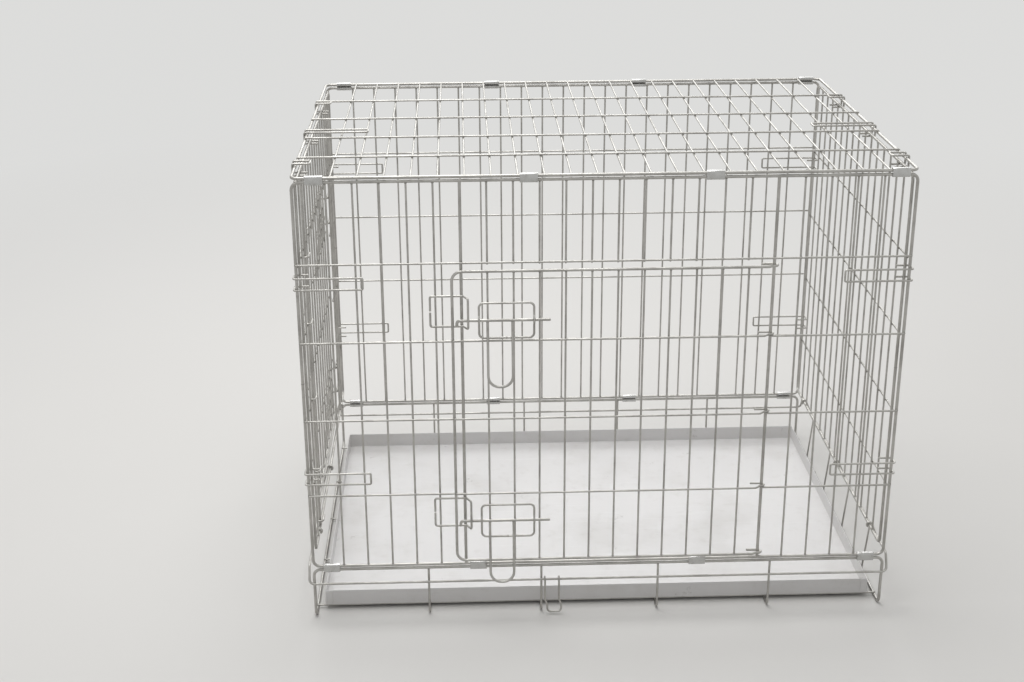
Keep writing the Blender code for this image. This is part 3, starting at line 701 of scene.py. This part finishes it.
FRAME_PLACE = Matrix.Translation((
    (TRAY_BOX[0].x + TRAY_BOX[1].x) / 2,
    (TRAY_BOX[0].y + TRAY_BOX[1].y) / 2,
    TRAY_BOX[0].z - TRAY_BOTTOM,
))
FRONT = Matrix.Translation((0, -DEPTH / 2, 0))
BACK = Matrix.Translation((0, DEPTH / 2, 0)) @ Matrix.Rotation(pi, 4, "Z")
LEFT = Matrix.Translation((-END_PLANE, 0, 0)) @ Matrix.Rotation(-pi / 2, 4, "Z")
RIGHT = Matrix.Translation((END_PLANE, 0, 0)) @ Matrix.Rotation(pi / 2, 4, "Z")
ABOVE = Matrix.Translation((0, 0, TOP_LEVEL)) @ Matrix.Rotation(-pi / 2, 4, "X")
FRONT_DOORWAY = FRONT @ Matrix.Translation((upright_place(FRONT_POSTS[1], LONG_WIRES), 0, 0))
END_DOORWAY = LEFT @ Matrix.Translation((upright_place(END_POSTS[1], END_WIRES), 0, 0))
LEFT_LEVEL = RIM_HEIGHT + LEFT_HINGE_RISE
RIGHT_LEVEL = RIM_HEIGHT + RIGHT_HINGE_RISE
BARS = [FRONT_BOTTOM + height for height in BAR_HEIGHTS]
END_BARS = [bar - END_BAR_DROP for bar in BARS]


# Base


def base_wires():
    """The wires of the base, with a bead at each weld."""
    half = WIDTH / 2
    deep = DEPTH / 2
    floor = FRAME / 2
    ring = [
        (-half, -deep, RIM_HEIGHT), (half, -deep, RIM_HEIGHT), (half, -deep, floor), (half, deep, floor),
        (half, deep, RIM_HEIGHT), (-half, deep, RIM_HEIGHT), (-half, deep, floor), (-half, -deep, floor),
    ]
    wires = [drawn_wire(route(ring, PANEL_CORNER, closed=True), "frame", closed=True)]
    out = half + RAIL_BULGE
    high = RIM_HEIGHT + END_RAIL_RISE
    rise = high - RAIL_LEVEL
    rail = []
    for side, way in ((-1, -1), (1, -1), (1, 1), (-1, 1)):
        low_corner = (side * out, way * RAIL_PLANE, RAIL_LEVEL)
        high_corner = (side * out, way * (RAIL_PLANE - rise / 2), high)
        rail += [high_corner, low_corner] if side == way else [low_corner, high_corner]
    wires.append(drawn_wire(route(rail, RAIL_CORNER, closed=True), "rail", closed=True))
    for place in FOOT_PLACES:
        foot = [(place, -deep, RIM_HEIGHT), (place, -deep, FOOT / 2), (place, deep, FOOT / 2),
                (place, deep, RIM_HEIGHT)]
        wires.append(drawn_wire(route(foot, PANEL_CORNER), "foot"))
    first = -(FLOOR_WIRES - 1) / 2 * FLOOR_WIRE_SPACING
    floor_wire = straight_wire((-half, first, FLOOR_WIRE_LEVEL), (half, first, FLOOR_WIRE_LEVEL), "inner")
    wires.append(row_of(floor_wire, FLOOR_WIRES, (0, FLOOR_WIRE_SPACING, 0)))
    first = -(STOP_WIRES - 1) / 2 * STOP_SPACING
    stop = straight_wire((out, first, high), (half, first, floor), "inner")
    wires.append(row_of(stop, STOP_WIRES, (0, STOP_SPACING, 0)))
    for side, level in ((1, RIGHT_LEVEL), (-1, LEFT_LEVEL)):
        for bay in HINGE_EYE_BAYS:
            wires.append(hinge_eye(side, bay * PITCH, level))
    return wires + base_beads(high, out)


def hinge_eye(side, place, level):
    """A hook from an end rail round the bottom wire of its end panel, drawn from its tip."""
    radius = FRAME / 2 + HINGE_CLEARANCE + INNER / 2
    away = WIDTH / 2 + RAIL_BULGE - END_PLANE
    down = RIM_HEIGHT + END_RAIL_RISE - level
    run = sqrt(away * away + down * down - radius * radius)
    leaving = atan2(down, away) + atan2(run, radius)
    start = Vector((side * (END_PLANE + radius * cos(EYE_END)), place, level + radius * sin(EYE_END)))
    heading = Vector((side * sin(EYE_END), 0, -cos(EYE_END)))
    steps = [(radius, EYE_END - leaving, Y * side), (run,)]
    return drawn_wire((start, heading, steps), "inner")


def base_beads(high, out):
    """Beads where the base's wires are welded."""
    half = WIDTH / 2
    deep = DEPTH / 2
    low_touch = FOOT - FLOOR_WIRE_OVERLAP / 2
    first = -(FLOOR_WIRES - 1) / 2 * FLOOR_WIRE_SPACING
    beads = []
    for place in FOOT_PLACES:
        for way in (-1, 1):
            beads.append(weld_bead((place, way * deep, RIM_HEIGHT - FRAME / 2), FOOT_BEAD))
            beads.append(weld_bead((place, way * (deep + FOOT / 2), RAIL_LEVEL), CROSSING_BEAD))
        floor_bead = weld_bead((place, first, low_touch), FLOOR_BEAD)
        beads.append(row_of(floor_bead, FLOOR_WIRES, (0, FLOOR_WIRE_SPACING, 0)))
    for side in (-1, 1):
        end_bead = weld_bead((side * half, first, FLOOR_WIRE_LEVEL), FLOOR_END_BEAD)
        beads.append(row_of(end_bead, FLOOR_WIRES, (0, FLOOR_WIRE_SPACING, 0)))
    first = -(STOP_WIRES - 1) / 2 * STOP_SPACING
    for place, stretch in (((out, first, high), STOP_TOP_BEAD), ((half, first, FRAME), STOP_FOOT_BEAD)):
        beads.append(row_of(weld_bead(place, stretch), STOP_WIRES, (0, STOP_SPACING, 0)))
    for side in (-1, 1):
        for bay in HINGE_EYE_BAYS:
            beads.append(weld_bead((side * out, bay * PITCH, high), EYE_BEAD))
    return beads


# Panels


def panel_wires(half_width, bottom, top, count, bars, posts=None, shift=0.0):
    """The wires of a panel in its own frame: X across, Z up, outside towards -Y."""
    corners = [(-half_width, 0, bottom), (half_width, 0, bottom), (half_width, 0, top), (-half_width, 0, top)]
    parts = [drawn_wire(route(corners, PANEL_CORNER, closed=True), "frame", closed=True)]
    parts.append(butt_weld((-half_width, 0, (bottom + top) / 2), FRAME, Z))
    first, last = posts or (count + 1, count + 1)
    groups = [(1, first - 1, bottom, "inner"), (last + 1, count, bottom, "inner")]
    if posts:
        groups += [(first, first, bottom, "frame"), (last, last, bottom, "frame")]
        groups.append((first + 1, last - 1, bars[-1] - INNER, "inner"))
    for start, end, level, kind in groups:
        number = end - start + 1
        if number < 1:
            continue
        place = upright_place(start, count) + shift
        upright = straight_wire((place, 0, level), (place, 0, top), kind)
        parts.append(row_of(upright, number, (PITCH, 0, 0)))
        ends = [top - FRAME / 2]
        if level == bottom:
            ends.append(bottom + FRAME / 2)
        for height in ends:
            bead = weld_bead((place, 0, height), BORDER_BEAD)
            parts.append(row_of(bead, number, (PITCH, 0, 0)))
        for bar in bars:
            if bar < level:
                continue
            bead = weld_bead((place, -BAR_OFFSET / 2, bar), CROSSING_BEAD)
            parts.append(row_of(bead, number, (PITCH, 0, 0)))
    for bar in bars:
        spans = [(-half_width, half_width)]
        if posts and bar != bars[-1]:
            spans = [(-half_width, upright_place(first, count)), (upright_place(last, count), half_width)]
        for start, end in spans:
            parts.append(straight_wire((start, -BAR_OFFSET, bar), (end, -BAR_OFFSET, bar), "inner"))
        for side in (-1, 1):
            parts.append(weld_bead((side * half_width, -FRAME / 2, bar), BAR_END_BEAD))
    return parts


# Doors and latches


def hinge_hook_points(level, offset, radius):
    """Where a door wire comes in to its hinge post."""
    return [(-radius - offset / 2, -offset, level), (-HOOK_TAPER, -radius, level), (0, -radius, level)]


def door_wires(bottom, top, bars):
    """The wires of a door in its own frame: hinge post at the origin, door towards -X, outside towards -Y."""
    latch_side = LATCH_POST - DOOR_LAP
    radius = FRAME / 2 + HINGE_CLEARANCE + DOOR / 2
    corners = hinge_hook_points(top, DOOR_OFFSET, radius)[::-1]
    corners += [(latch_side, -DOOR_OFFSET, top), (latch_side, -DOOR_OFFSET, bottom)]
    corners += hinge_hook_points(bottom, DOOR_OFFSET, radius)
    bends = [HOOK_BEND, HOOK_BEND, DOOR_CORNER, DOOR_CORNER, HOOK_BEND, HOOK_BEND]
    steps = route(corners, bends)[2]
    start = Vector((-HOOK_TAIL, radius, top))
    steps = [(HOOK_TAIL,), (radius, pi, -Z)] + steps + [(radius, pi, Z), (HOOK_TAIL,)]
    parts = [drawn_wire((start, X, steps), "door")]
    upright = straight_wire((-PITCH, -DOOR_OFFSET, bottom), (-PITCH, -DOOR_OFFSET, top), "inner")
    parts.append(row_of(upright, DOOR_UPRIGHTS, (-PITCH, 0, 0)))
    for height in (bottom + DOOR / 2, top - DOOR / 2):
        bead = weld_bead((-PITCH, -DOOR_OFFSET, height), DOOR_BORDER_BEAD)
        parts.append(row_of(bead, DOOR_UPRIGHTS, (-PITCH, 0, 0)))
    radius = FRAME / 2 + HINGE_CLEARANCE + INNER / 2
    for bar in bars:
        line = [(latch_side, -DOOR_BAR_OFFSET, bar)] + hinge_hook_points(bar, DOOR_BAR_OFFSET, radius)
        start, heading, steps = route(line, HOOK_BEND)
        steps += [(radius, pi, Z), (HOOK_TAIL,)]
        parts.append(drawn_wire((start, heading, steps), "inner"))
        bead = weld_bead((-PITCH, -DOOR_OFFSET - BAR_OFFSET / 2, bar), CROSSING_BEAD)
        parts.append(row_of(bead, DOOR_UPRIGHTS, (-PITCH, 0, 0)))
        parts.append(weld_bead((latch_side, -DOOR_OFFSET - DOOR / 2, bar), CROSSING_BEAD))
    return parts


def keeper_loop(level):
    """The loop on the panel that the bolt slides behind, with the gap where its ends meet."""
    left = LATCH_POST - KEEPER_BEHIND
    bar = LATCH_POST + KEEPER_AHEAD
    bend = bar - KEEPER_BEND
    high = level + KEEPER_ABOVE
    low = level - KEEPER_BELOW
    middle = (high + low) / 2
    corners = [(left, -KEEPER_OFFSET, middle - KEEPER_CUT / 2), (left, -KEEPER_OFFSET, low),
               (bend, -KEEPER_OFFSET, low), (bar, -KEEPER_BAR_OFFSET, low), (bar, -KEEPER_BAR_OFFSET, high),
               (bend, -KEEPER_OFFSET, high), (left, -KEEPER_OFFSET, high),
               (left, -KEEPER_OFFSET, middle + KEEPER_CUT / 2)]
    parts = [drawn_wire(route(corners, KEEPER), "keeper")]
    touch = -KEEPER_OFFSET + KEEPER / 2
    for place in (LATCH_POST, LATCH_POST - PITCH):
        for height in (low, high):
            parts.append(weld_bead((place, touch, height), LOOP_BEAD))
    return parts


def guide_loop(level):
    """The loop on the door that the bolt runs in, kinked outwards over the bolt."""
    left = LATCH_POST + GUIDE_START
    right = left + GUIDE_WIDTH
    over_bolt = BOLT_OFFSET + BOLT / 2 + HINGE_CLEARANCE + KEEPER / 2
    near = BOLT / 2 + KEEPER / 4
    far = near + GUIDE_KINK
    low = level - GUIDE_BELOW
    high = level + GUIDE_ABOVE
    corners = []
    bends = []
    for side, way, ends in ((left, 1, (low, high)), (right, -1, (high, low))):
        corners += [
            (side, -GUIDE_OFFSET, ends[0]),
            (side, -GUIDE_OFFSET, level - way * far),
            (side, -over_bolt, level - way * near),
            (side, -over_bolt, level + way * near),
            (side, -GUIDE_OFFSET, level + way * far),
            (side, -GUIDE_OFFSET, ends[1]),
        ]
        bends += [GUIDE_CORNER] + [KINK_BEND] * 4 + [GUIDE_CORNER]
    parts = [drawn_wire(route(corners, bends, closed=True), "keeper", closed=True)]
    parts.append(butt_weld(((left + right) / 2, -GUIDE_OFFSET, low), KEEPER, X))
    for number in range(1, DOOR_UPRIGHTS + 1):
        if left < -number * PITCH < right:
            for height in (low, high):
                parts.append(weld_bead((-number * PITCH, -GUIDE_OFFSET + KEEPER / 2, height), LOOP_BEAD))
    return parts


def bolt_rod(level):
    """The sliding rod, its tip turned down behind the keeper."""
    tip = LATCH_POST - BOLT_BEHIND
    drop = KEEPER_BELOW - KEEPER - CLEARANCE
    corners = [(tip, -BOLT_OFFSET, level - drop), (tip, -BOLT_OFFSET, level),
               (tip + BOLT_LENGTH, -BOLT_OFFSET, level)]
    return [drawn_wire(route(corners, BOLT), "bolt")]


def handle_loop(level):
    """The hanging finger loop, tilted out just enough to clear the guide."""
    left = LATCH_POST + HANDLE_START
    right = left + HANDLE_WIDTH
    start = BOLT / 2 + CLEARANCE
    apart = HANDLE / 2 + KEEPER / 2 + SNAP_CLEARANCE
    lean = (apart - (BOLT_OFFSET - GUIDE_OFFSET)) / GUIDE_BELOW
    down = Vector((0, -lean, -sqrt(1 - lean * lean)))
    hang = Vector((0, -BOLT_OFFSET, level))
    corners = [X * left + hang + down * start, X * left + hang + down * HANDLE_LENGTH,
               X * right + hang + down * HANDLE_LENGTH, X * right + hang + down * start]
    parts = [drawn_wire(route(corners, HANDLE_CORNER), "handle")]
    for place in (left, right):
        parts.append(weld_bead(X * place + hang + down * BOLT / 2, HANDLE_BEAD))
    return parts


# Hooks and clips


def corner_hook(side, middle, length, return_depth):
    """A hook wire in a panel's frame: two arms on the outside, turned back behind the next panel."""
    outer = WIDTH / 2 + FRAME / 2 + CLEARANCE + INNER / 2
    inner = outer - length
    tip = outer - HOOK_RETURN
    back = return_depth + FRAME / 2 + SNAP_CLEARANCE + INNER / 2
    corners = []
    for level, way in ((middle + HOOK_SPREAD / 2, 1), (middle - HOOK_SPREAD / 2, -1)):
        arm = [(side * tip, back, level), (side * outer, back, level),
               (side * outer, -HOOK_ARM_OFFSET, level), (side * inner, -HOOK_ARM_OFFSET, level)]
        corners += arm[::way]
    return [drawn_wire(route(corners, HOOK_CORNER), "inner")]


def clip_sleeve(middle):
    """A strip of sheet bent round two stacked wires, its mouth towards the inside."""
    across = FRAME / 2 + CLEARANCE + CLIP_SHEET / 2
    up = FRAME + STACK_GAP / 2 + CLEARANCE + CLIP_SHEET / 2
    mouth = CLIP_MOUTH / 2
    corners = [(0, across, -mouth), (0, across, -up), (0, -across, -up), (0, -across, up), (0, across, up),
               (0, across, mouth)]
    start, heading, steps = route(corners, CLIP_CORNER + CLIP_SHEET / 2)
    deselect()
    bpy.ops.mesh.primitive_plane_add(size=1.0, location=start)
    sleeve = bpy.context.object
    sleeve.scale = (CLIP_LENGTH, CLIP_SHEET, 1.0)
    bpy.ops.object.transform_apply(location=True, rotation=True, scale=True)
    bpy.ops.object.mode_set(mode="EDIT")
    bpy.ops.mesh.select_all(action="SELECT")
    follow(start, heading, steps)
    bpy.ops.mesh.select_all(action="SELECT")
    bpy.ops.mesh.normals_make_consistent(inside=False)
    bpy.ops.object.mode_set(mode="OBJECT")
    edges = sleeve.modifiers.new("Edges", "BEVEL")
    edges.width = SHEET_EDGE
    edges.segments = 2
    bpy.ops.object.modifier_apply(modifier=edges.name)
    bpy.ops.transform.translate(value=middle)
    bpy.ops.object.transform_apply(location=True, rotation=True, scale=True)
    sleeve.data.materials.append(material("plated_sheet"))
    return [sleeve]


def swing_hook_wires():
    """The small bail that hangs on the front rail, modelled about the rail's middle."""
    radius = RAIL / 2 + HINGE_CLEARANCE + INNER / 2
    half = SWING_HOOK_WIDTH / 2
    corners = []
    for side, way in ((-half, 1), (half, -1)):
        pushed = side + SWING_HOOK_PUSH
        arm = [(side, -radius, 0), (side, -radius, -SWING_HOOK_PUSH_START),
               (pushed, -radius, -SWING_HOOK_PUSH_END), (pushed, -radius, -SWING_HOOK_LENGTH)]
        corners += arm[::way]
    steps = route(corners, 2 * INNER)[2]
    start = Vector((-half, radius * cos(SWING_EYE_START), radius * sin(SWING_EYE_START)))
    heading = Vector((0, -sin(SWING_EYE_START), cos(SWING_EYE_START)))
    steps = [(radius, SWING_EYE_TURN, X)] + steps + [(radius, SWING_EYE_TURN, -X)]
    return [drawn_wire((start, heading, steps), "inner")]


# Tray


def tray_pan():
    """The sheet tray: a box without its lid, its corners rounded, given its wall and a soft edge."""
    deselect()
    bpy.ops.mesh.primitive_cube_add(size=1.0, location=(0, 0, TRAY_BOTTOM + TRAY_HEIGHT / 2))
    pan = bpy.context.object
    pan.scale = (TRAY_LENGTH, TRAY_WIDTH - 2 * TRAY_SHEET, TRAY_HEIGHT)
    bpy.ops.object.transform_apply(location=True, rotation=True, scale=True)
    bpy.ops.object.mode_set(mode="EDIT")
    bpy.ops.mesh.select_mode(type="FACE")
    bpy.ops.object.mode_set(mode="OBJECT")
    for face in pan.data.polygons:
        face.select = face.normal.z > 0.5
    bpy.ops.object.mode_set(mode="EDIT")
    bpy.ops.mesh.delete(type="FACE")
    bpy.ops.mesh.select_mode(type="EDGE")
    bpy.ops.mesh.select_all(action="DESELECT")
    bpy.ops.object.mode_set(mode="OBJECT")
    for edge in pan.data.edges:
        low, high = (pan.data.vertices[index].co for index in edge.vertices)
        edge.select = abs(low.z - high.z) > TRAY_HEIGHT / 2
    bpy.ops.object.mode_set(mode="EDIT")
    bpy.ops.mesh.bevel(offset=TRAY_FOLD, segments=4, affect="EDGES")
    bpy.ops.mesh.select_all(action="DESELECT")
    bpy.ops.object.mode_set(mode="OBJECT")
    for edge in pan.data.edges:
        ends = [pan.data.vertices[index].co.z for index in edge.vertices]
        edge.select = max(ends) < TRAY_BOTTOM + TRAY_SHEET
    bpy.ops.object.mode_set(mode="EDIT")
    bpy.ops.mesh.bevel(offset=TRAY_FOLD, segments=3, affect="EDGES")
    bpy.ops.mesh.select_all(action="SELECT")
    bpy.ops.mesh.normals_make_consistent(inside=False)
    bpy.ops.object.mode_set(mode="OBJECT")
    wall = pan.modifiers.new("Sheet", "SOLIDIFY")
    wall.thickness = TRAY_SHEET
    wall.offset = -1.0
    bpy.ops.object.modifier_apply(modifier=wall.name)
    edges = pan.modifiers.new("Edge", "BEVEL")
    edges.width = SHEET_EDGE
    edges.segments = 2
    edges.limit_method = "ANGLE"
    bpy.ops.object.modifier_apply(modifier=edges.name)
    pan.data.materials.append(material("tray_enamel"))
    return [pan] + [corner_tab(end, side) for end in (-1, 1) for side in (-1, 1)]


def corner_tab(end, side):
    """The end wall's flap, lapped over the outside of the long wall."""
    middle = (end * (TRAY_LENGTH - TRAY_TAB) / 2, side * (TRAY_WIDTH - TRAY_SHEET) / 2,
              TRAY_BOTTOM + TRAY_HEIGHT / 2)
    deselect()
    bpy.ops.mesh.primitive_cube_add(size=1.0, location=middle)
    tab = bpy.context.object
    tab.scale = (TRAY_TAB, TRAY_SHEET, TRAY_HEIGHT - 2 * TRAY_TAB_DROP)
    bpy.ops.object.transform_apply(location=True, rotation=True, scale=True)
    edges = tab.modifiers.new("Edges", "BEVEL")
    edges.width = SHEET_EDGE
    edges.segments = 2
    bpy.ops.object.modifier_apply(modifier=edges.name)
    tab.data.materials.append(material("tray_enamel"))
    return tab


# Stage


def stage_floor():
    settings = bpy.context.scene.crate_stage
    deselect()
    bpy.ops.mesh.primitive_plane_add(size=FLOOR_SIZE, location=(0, 0, -FLOOR_DROP))
    floor = bpy.context.object
    floor.name = "studio_floor"
    bpy.ops.object.transform_apply(location=True, rotation=True, scale=True)
    made = Finish("studio_floor")
    clouds = made.noise(1.3, 4.0)
    shade = tuple(value * FLOOR_SHADE for value in settings.floor)
    made.set(Base_Color=made.blend(clouds, tuple(settings.floor), shade), Roughness=FLOOR_ROUGHNESS)
    fade_to_backdrop(made, settings.backdrop)
    floor.data.materials.append(made.material)


def fade_to_backdrop(made, backdrop):
    """Let the floor far from the crate show the background's colour, to the eye and in reflections only."""
    away = made.node("ShaderNodeVectorMath", {"operation": "LENGTH"}, {0: made.place}).out("Value")
    far = made.mask(away, FADE_START, FADE_END)
    glow = made.node("ShaderNodeEmission", {}, {"Color": (*backdrop, 1.0)}).out("Emission")
    made.mix_shaders(far * made.seen(), made.principled(), glow, "Material Output")


def stage_lights():
    settings = bpy.context.scene.crate_stage
    deselect()
    lamps = (
        (CEILING_LAMP, CEILING_SIZE, settings.key),
        (BACK_LAMP, BACK_SIZE, settings.back),
    )
    for place, size, power in lamps:
        bpy.ops.object.light_add(type="AREA", location=place)
        lamp = bpy.context.object
        lamp.data.shape = "ELLIPSE"
        lamp.data.size, lamp.data.size_y = size
        lamp.data.energy = power
        lamp.rotation_euler = (Vector(LAMP_AIM) - lamp.location).to_track_quat("-Z", "Y").to_euler()


def stage_world():
    settings = bpy.context.scene.crate_stage
    world = bpy.data.worlds.new("studio")
    bpy.context.scene.world = world
    world.use_nodes = True
    made = Nodes(world.node_tree)
    light = Node(made, made.tree.nodes["Background"])
    made.feed(light.made.inputs["Color"], WHITE)
    made.feed(light.made.inputs["Strength"], settings.fill)
    backdrop = {"Color": (*settings.backdrop, 1.0), "Strength": 1.0}
    shown = made.node("ShaderNodeBackground", {}, backdrop).out("Background")
    made.mix_shaders(made.seen(), light.out("Background"), shown, "World Output")


def stage_camera():
    ahead = cos(CAMERA_PITCH)
    forward = Vector((sin(CAMERA_YAW) * ahead, cos(CAMERA_YAW) * ahead, -sin(CAMERA_PITCH)))
    right = Vector((cos(CAMERA_YAW), -sin(CAMERA_YAW), 0))
    up = right.cross(forward)
    rolled_right = right * cos(CAMERA_ROLL) + up * sin(CAMERA_ROLL)
    rolled_up = up * cos(CAMERA_ROLL) - right * sin(CAMERA_ROLL)
    deselect()
    bpy.ops.object.camera_add(location=CAMERA_PLACE)
    camera = bpy.context.object
    camera.rotation_euler = Matrix((rolled_right, rolled_up, -forward)).transposed().to_euler()
    camera.data.lens = FOCAL_LENGTH
    camera.data.sensor_width = SENSOR_WIDTH
    camera.data.sensor_fit = "HORIZONTAL"
    camera.data.clip_start = NEAREST_VIEW
    bpy.context.scene.camera = camera


# Operators


class CRATE_OT_base(bpy.types.Operator):
    """Model the wires of the base."""

    bl_idname = "crate.base"
    bl_label = "Base"

    def execute(self, context):
        put("base_wires", base_wires(), "base_frame")
        return {"FINISHED"}


class CRATE_OT_panels(bpy.types.Operator):
    """Model the five wire panels."""

    bl_idname = "crate.panels"
    bl_label = "Panels"

    def execute(self, context):
        half = WIDTH / 2
        front = panel_wires(half, FRONT_BOTTOM, FRONT_TOP, LONG_WIRES, BARS, FRONT_POSTS)
        put("front_panel_wires", front, "front_panel", FRONT)
        back = panel_wires(half, FRONT_BOTTOM, FRONT_TOP, LONG_WIRES, BARS)
        put("back_panel_wires", back, "back_panel", BACK)
        top = panel_wires(half, -DEPTH / 2, DEPTH / 2, LONG_WIRES, TOP_BARS, shift=TOP_WIRE_SHIFT)
        put("top_panel_wires", top, "top_panel", ABOVE)
        left = panel_wires(END_HALF_WIDTH, LEFT_LEVEL, END_TOP, END_WIRES, END_BARS, END_POSTS)
        put("left_end_wires", left, "left_end_panel", LEFT)
        right = panel_wires(END_HALF_WIDTH, RIGHT_LEVEL, END_TOP, END_WIRES, END_BARS)
        put("right_end_wires", right, "right_end_panel", RIGHT)
        return {"FINISHED"}


class CRATE_OT_doors(bpy.types.Operator):
    """Model the two doors and their latches."""

    bl_idname = "crate.doors"
    bl_label = "Doors and latches"

    def execute(self, context):
        doorways = (
            ("front_door", FRONT_DOORWAY, FRONT_BOTTOM, BARS),
            ("end_door", END_DOORWAY, LEFT_LEVEL, END_BARS),
        )
        for name, place, bottom, bars in doorways:
            levels = [bar + DOOR_BAR_RISE for bar in bars[:-1]]
            wires = door_wires(bottom + DOOR_BOTTOM_RISE, bars[-1] - DOOR_TOP_DROP, levels)
            put(name + "_wires", wires, name, place)
            for latch, height in LATCH_HEIGHTS.items():
                level = bars[0] - BAR_HEIGHTS[0] + height
                prefix = f"{name}_{latch}_"
                kinds = {"keeper": keeper_loop, "guide": guide_loop, "bolt": bolt_rod, "handle": handle_loop}
                for kind, modelled in kinds.items():
                    put(f"{prefix}{kind}_wire", modelled(level), prefix + kind, place)
        return {"FINISHED"}


class CRATE_OT_hooks(bpy.types.Operator):
    """Model the corner hooks and the swing hook."""

    bl_idname = "crate.hooks"
    bl_label = "Hooks"

    def execute(self, context):
        end_side = DEPTH / 2 - END_HALF_WIDTH
        for wall, place in (("front", FRONT), ("back", BACK)):
            for label, side in (("left", -1), ("right", 1)):
                local_side = side if wall == "front" else -side
                for height, level in HOOK_HEIGHTS.items():
                    node = f"{wall}_{label}_{height}_hook"
                    hook = corner_hook(local_side, FRONT_BOTTOM + level, HOOK_LENGTH, end_side)
                    put(node + "_wire", hook, node, place)
        top_return = TOP_LEVEL - END_TOP
        for label, side in (("left", -1), ("right", 1)):
            node = f"top_{label}_hook"
            hook = corner_hook(side, TOP_HOOK_PLACE, HOOK_LENGTH, top_return)
            put(node + "_wire", hook, node, ABOVE)
            for spot, middle in SHORT_HOOK_PLACES.items():
                node = f"top_{label}_{spot}_short_hook"
                hook = corner_hook(side, middle, SHORT_HOOK_LENGTH, top_return)
                put(node + "_wire", hook, node, ABOVE)
        place = Matrix.Translation((SWING_HOOK_PLACE, -RAIL_PLANE, RAIL_LEVEL))
        put("swing_hook_wire", swing_hook_wires(), "swing_hook", place)
        return {"FINISHED"}


class CRATE_OT_clips(bpy.types.Operator):
    """Model the sheet clips that join the panels."""

    bl_idname = "crate.clips"
    bl_label = "Clips"

    def execute(self, context):
        for row, bays in CLIP_BAYS.items():
            level, wall = row.split("_")
            height = (RIM_HEIGHT + FRONT_BOTTOM) / 2
            shift = 0.0
            if level == "top":
                height = (FRONT_TOP + TOP_LEVEL) / 2
                shift = TOP_WIRE_SHIFT / 2
            turn = 1 if wall == "front" else -1
            place = FRONT if wall == "front" else BACK
            for number, bay in enumerate(bays, 1):
                node = f"{row}_clip_{number}"
                sleeve = clip_sleeve((turn * (bay * PITCH + shift), 0, height))
                put(node + "_sleeve", sleeve, node, place)
        return {"FINISHED"}


class CRATE_OT_tray(bpy.types.Operator):
    """Model the sheet tray."""

    bl_idname = "crate.tray"
    bl_label = "Tray"

    def execute(self, context):
        put("tray_pan", tray_pan(), "tray")
        return {"FINISHED"}


class CRATE_OT_stage(bpy.types.Operator):
    """Set up the floor, the lamps, the background and the camera."""

    bl_idname = "crate.stage"
    bl_label = "Stage"

    def execute(self, context):
        stage_floor()
        stage_lights()
        stage_world()
        stage_camera()
        context.scene.view_settings.view_transform = "Standard"
        return {"FINISHED"}


class CRATE_PT_panel(bpy.types.Panel):
    """The crate's pieces and stage, in the order in which they are made."""

    bl_idname = "CRATE_PT_panel"
    bl_label = "Dog Crate"
    bl_space_type = "VIEW_3D"
    bl_region_type = "UI"
    bl_category = "Dog Crate"

    def draw(self, context):
        column = self.layout.column()
        for group in ("crate_wire", "crate_finish", "crate_stage"):
            settings = getattr(context.scene, group)
            for name in settings.bl_rna.properties.keys():
                if name not in ("rna_type", "name"):
                    column.prop(settings, name)
        for operator in OPERATORS:
            column.operator(operator.bl_idname)


GROUPS = {"crate_wire": CrateWire, "crate_finish": CrateFinish, "crate_stage": CrateStage}
OPERATORS = (CRATE_OT_base, CRATE_OT_panels, CRATE_OT_doors, CRATE_OT_hooks, CRATE_OT_clips, CRATE_OT_tray,
             CRATE_OT_stage)


def register():
    for group in GROUPS.values():
        bpy.utils.register_class(group)
    for name, group in GROUPS.items():
        setattr(bpy.types.Scene, name, bpy.props.PointerProperty(type=group))
    for operator in OPERATORS:
        bpy.utils.register_class(operator)
    bpy.utils.register_class(CRATE_PT_panel)


def unregister():
    bpy.utils.unregister_class(CRATE_PT_panel)
    for operator in reversed(OPERATORS):
        bpy.utils.unregister_class(operator)
    for name, group in GROUPS.items():
        delattr(bpy.types.Scene, name)
        bpy.utils.unregister_class(group)


def main():
    register()
    bpy.ops.crate.base()
    bpy.ops.crate.panels()
    bpy.ops.crate.doors()
    bpy.ops.crate.hooks()
    bpy.ops.crate.clips()
    bpy.ops.crate.tray()
    bpy.ops.crate.stage()


if __name__ == "__main__":
    main()
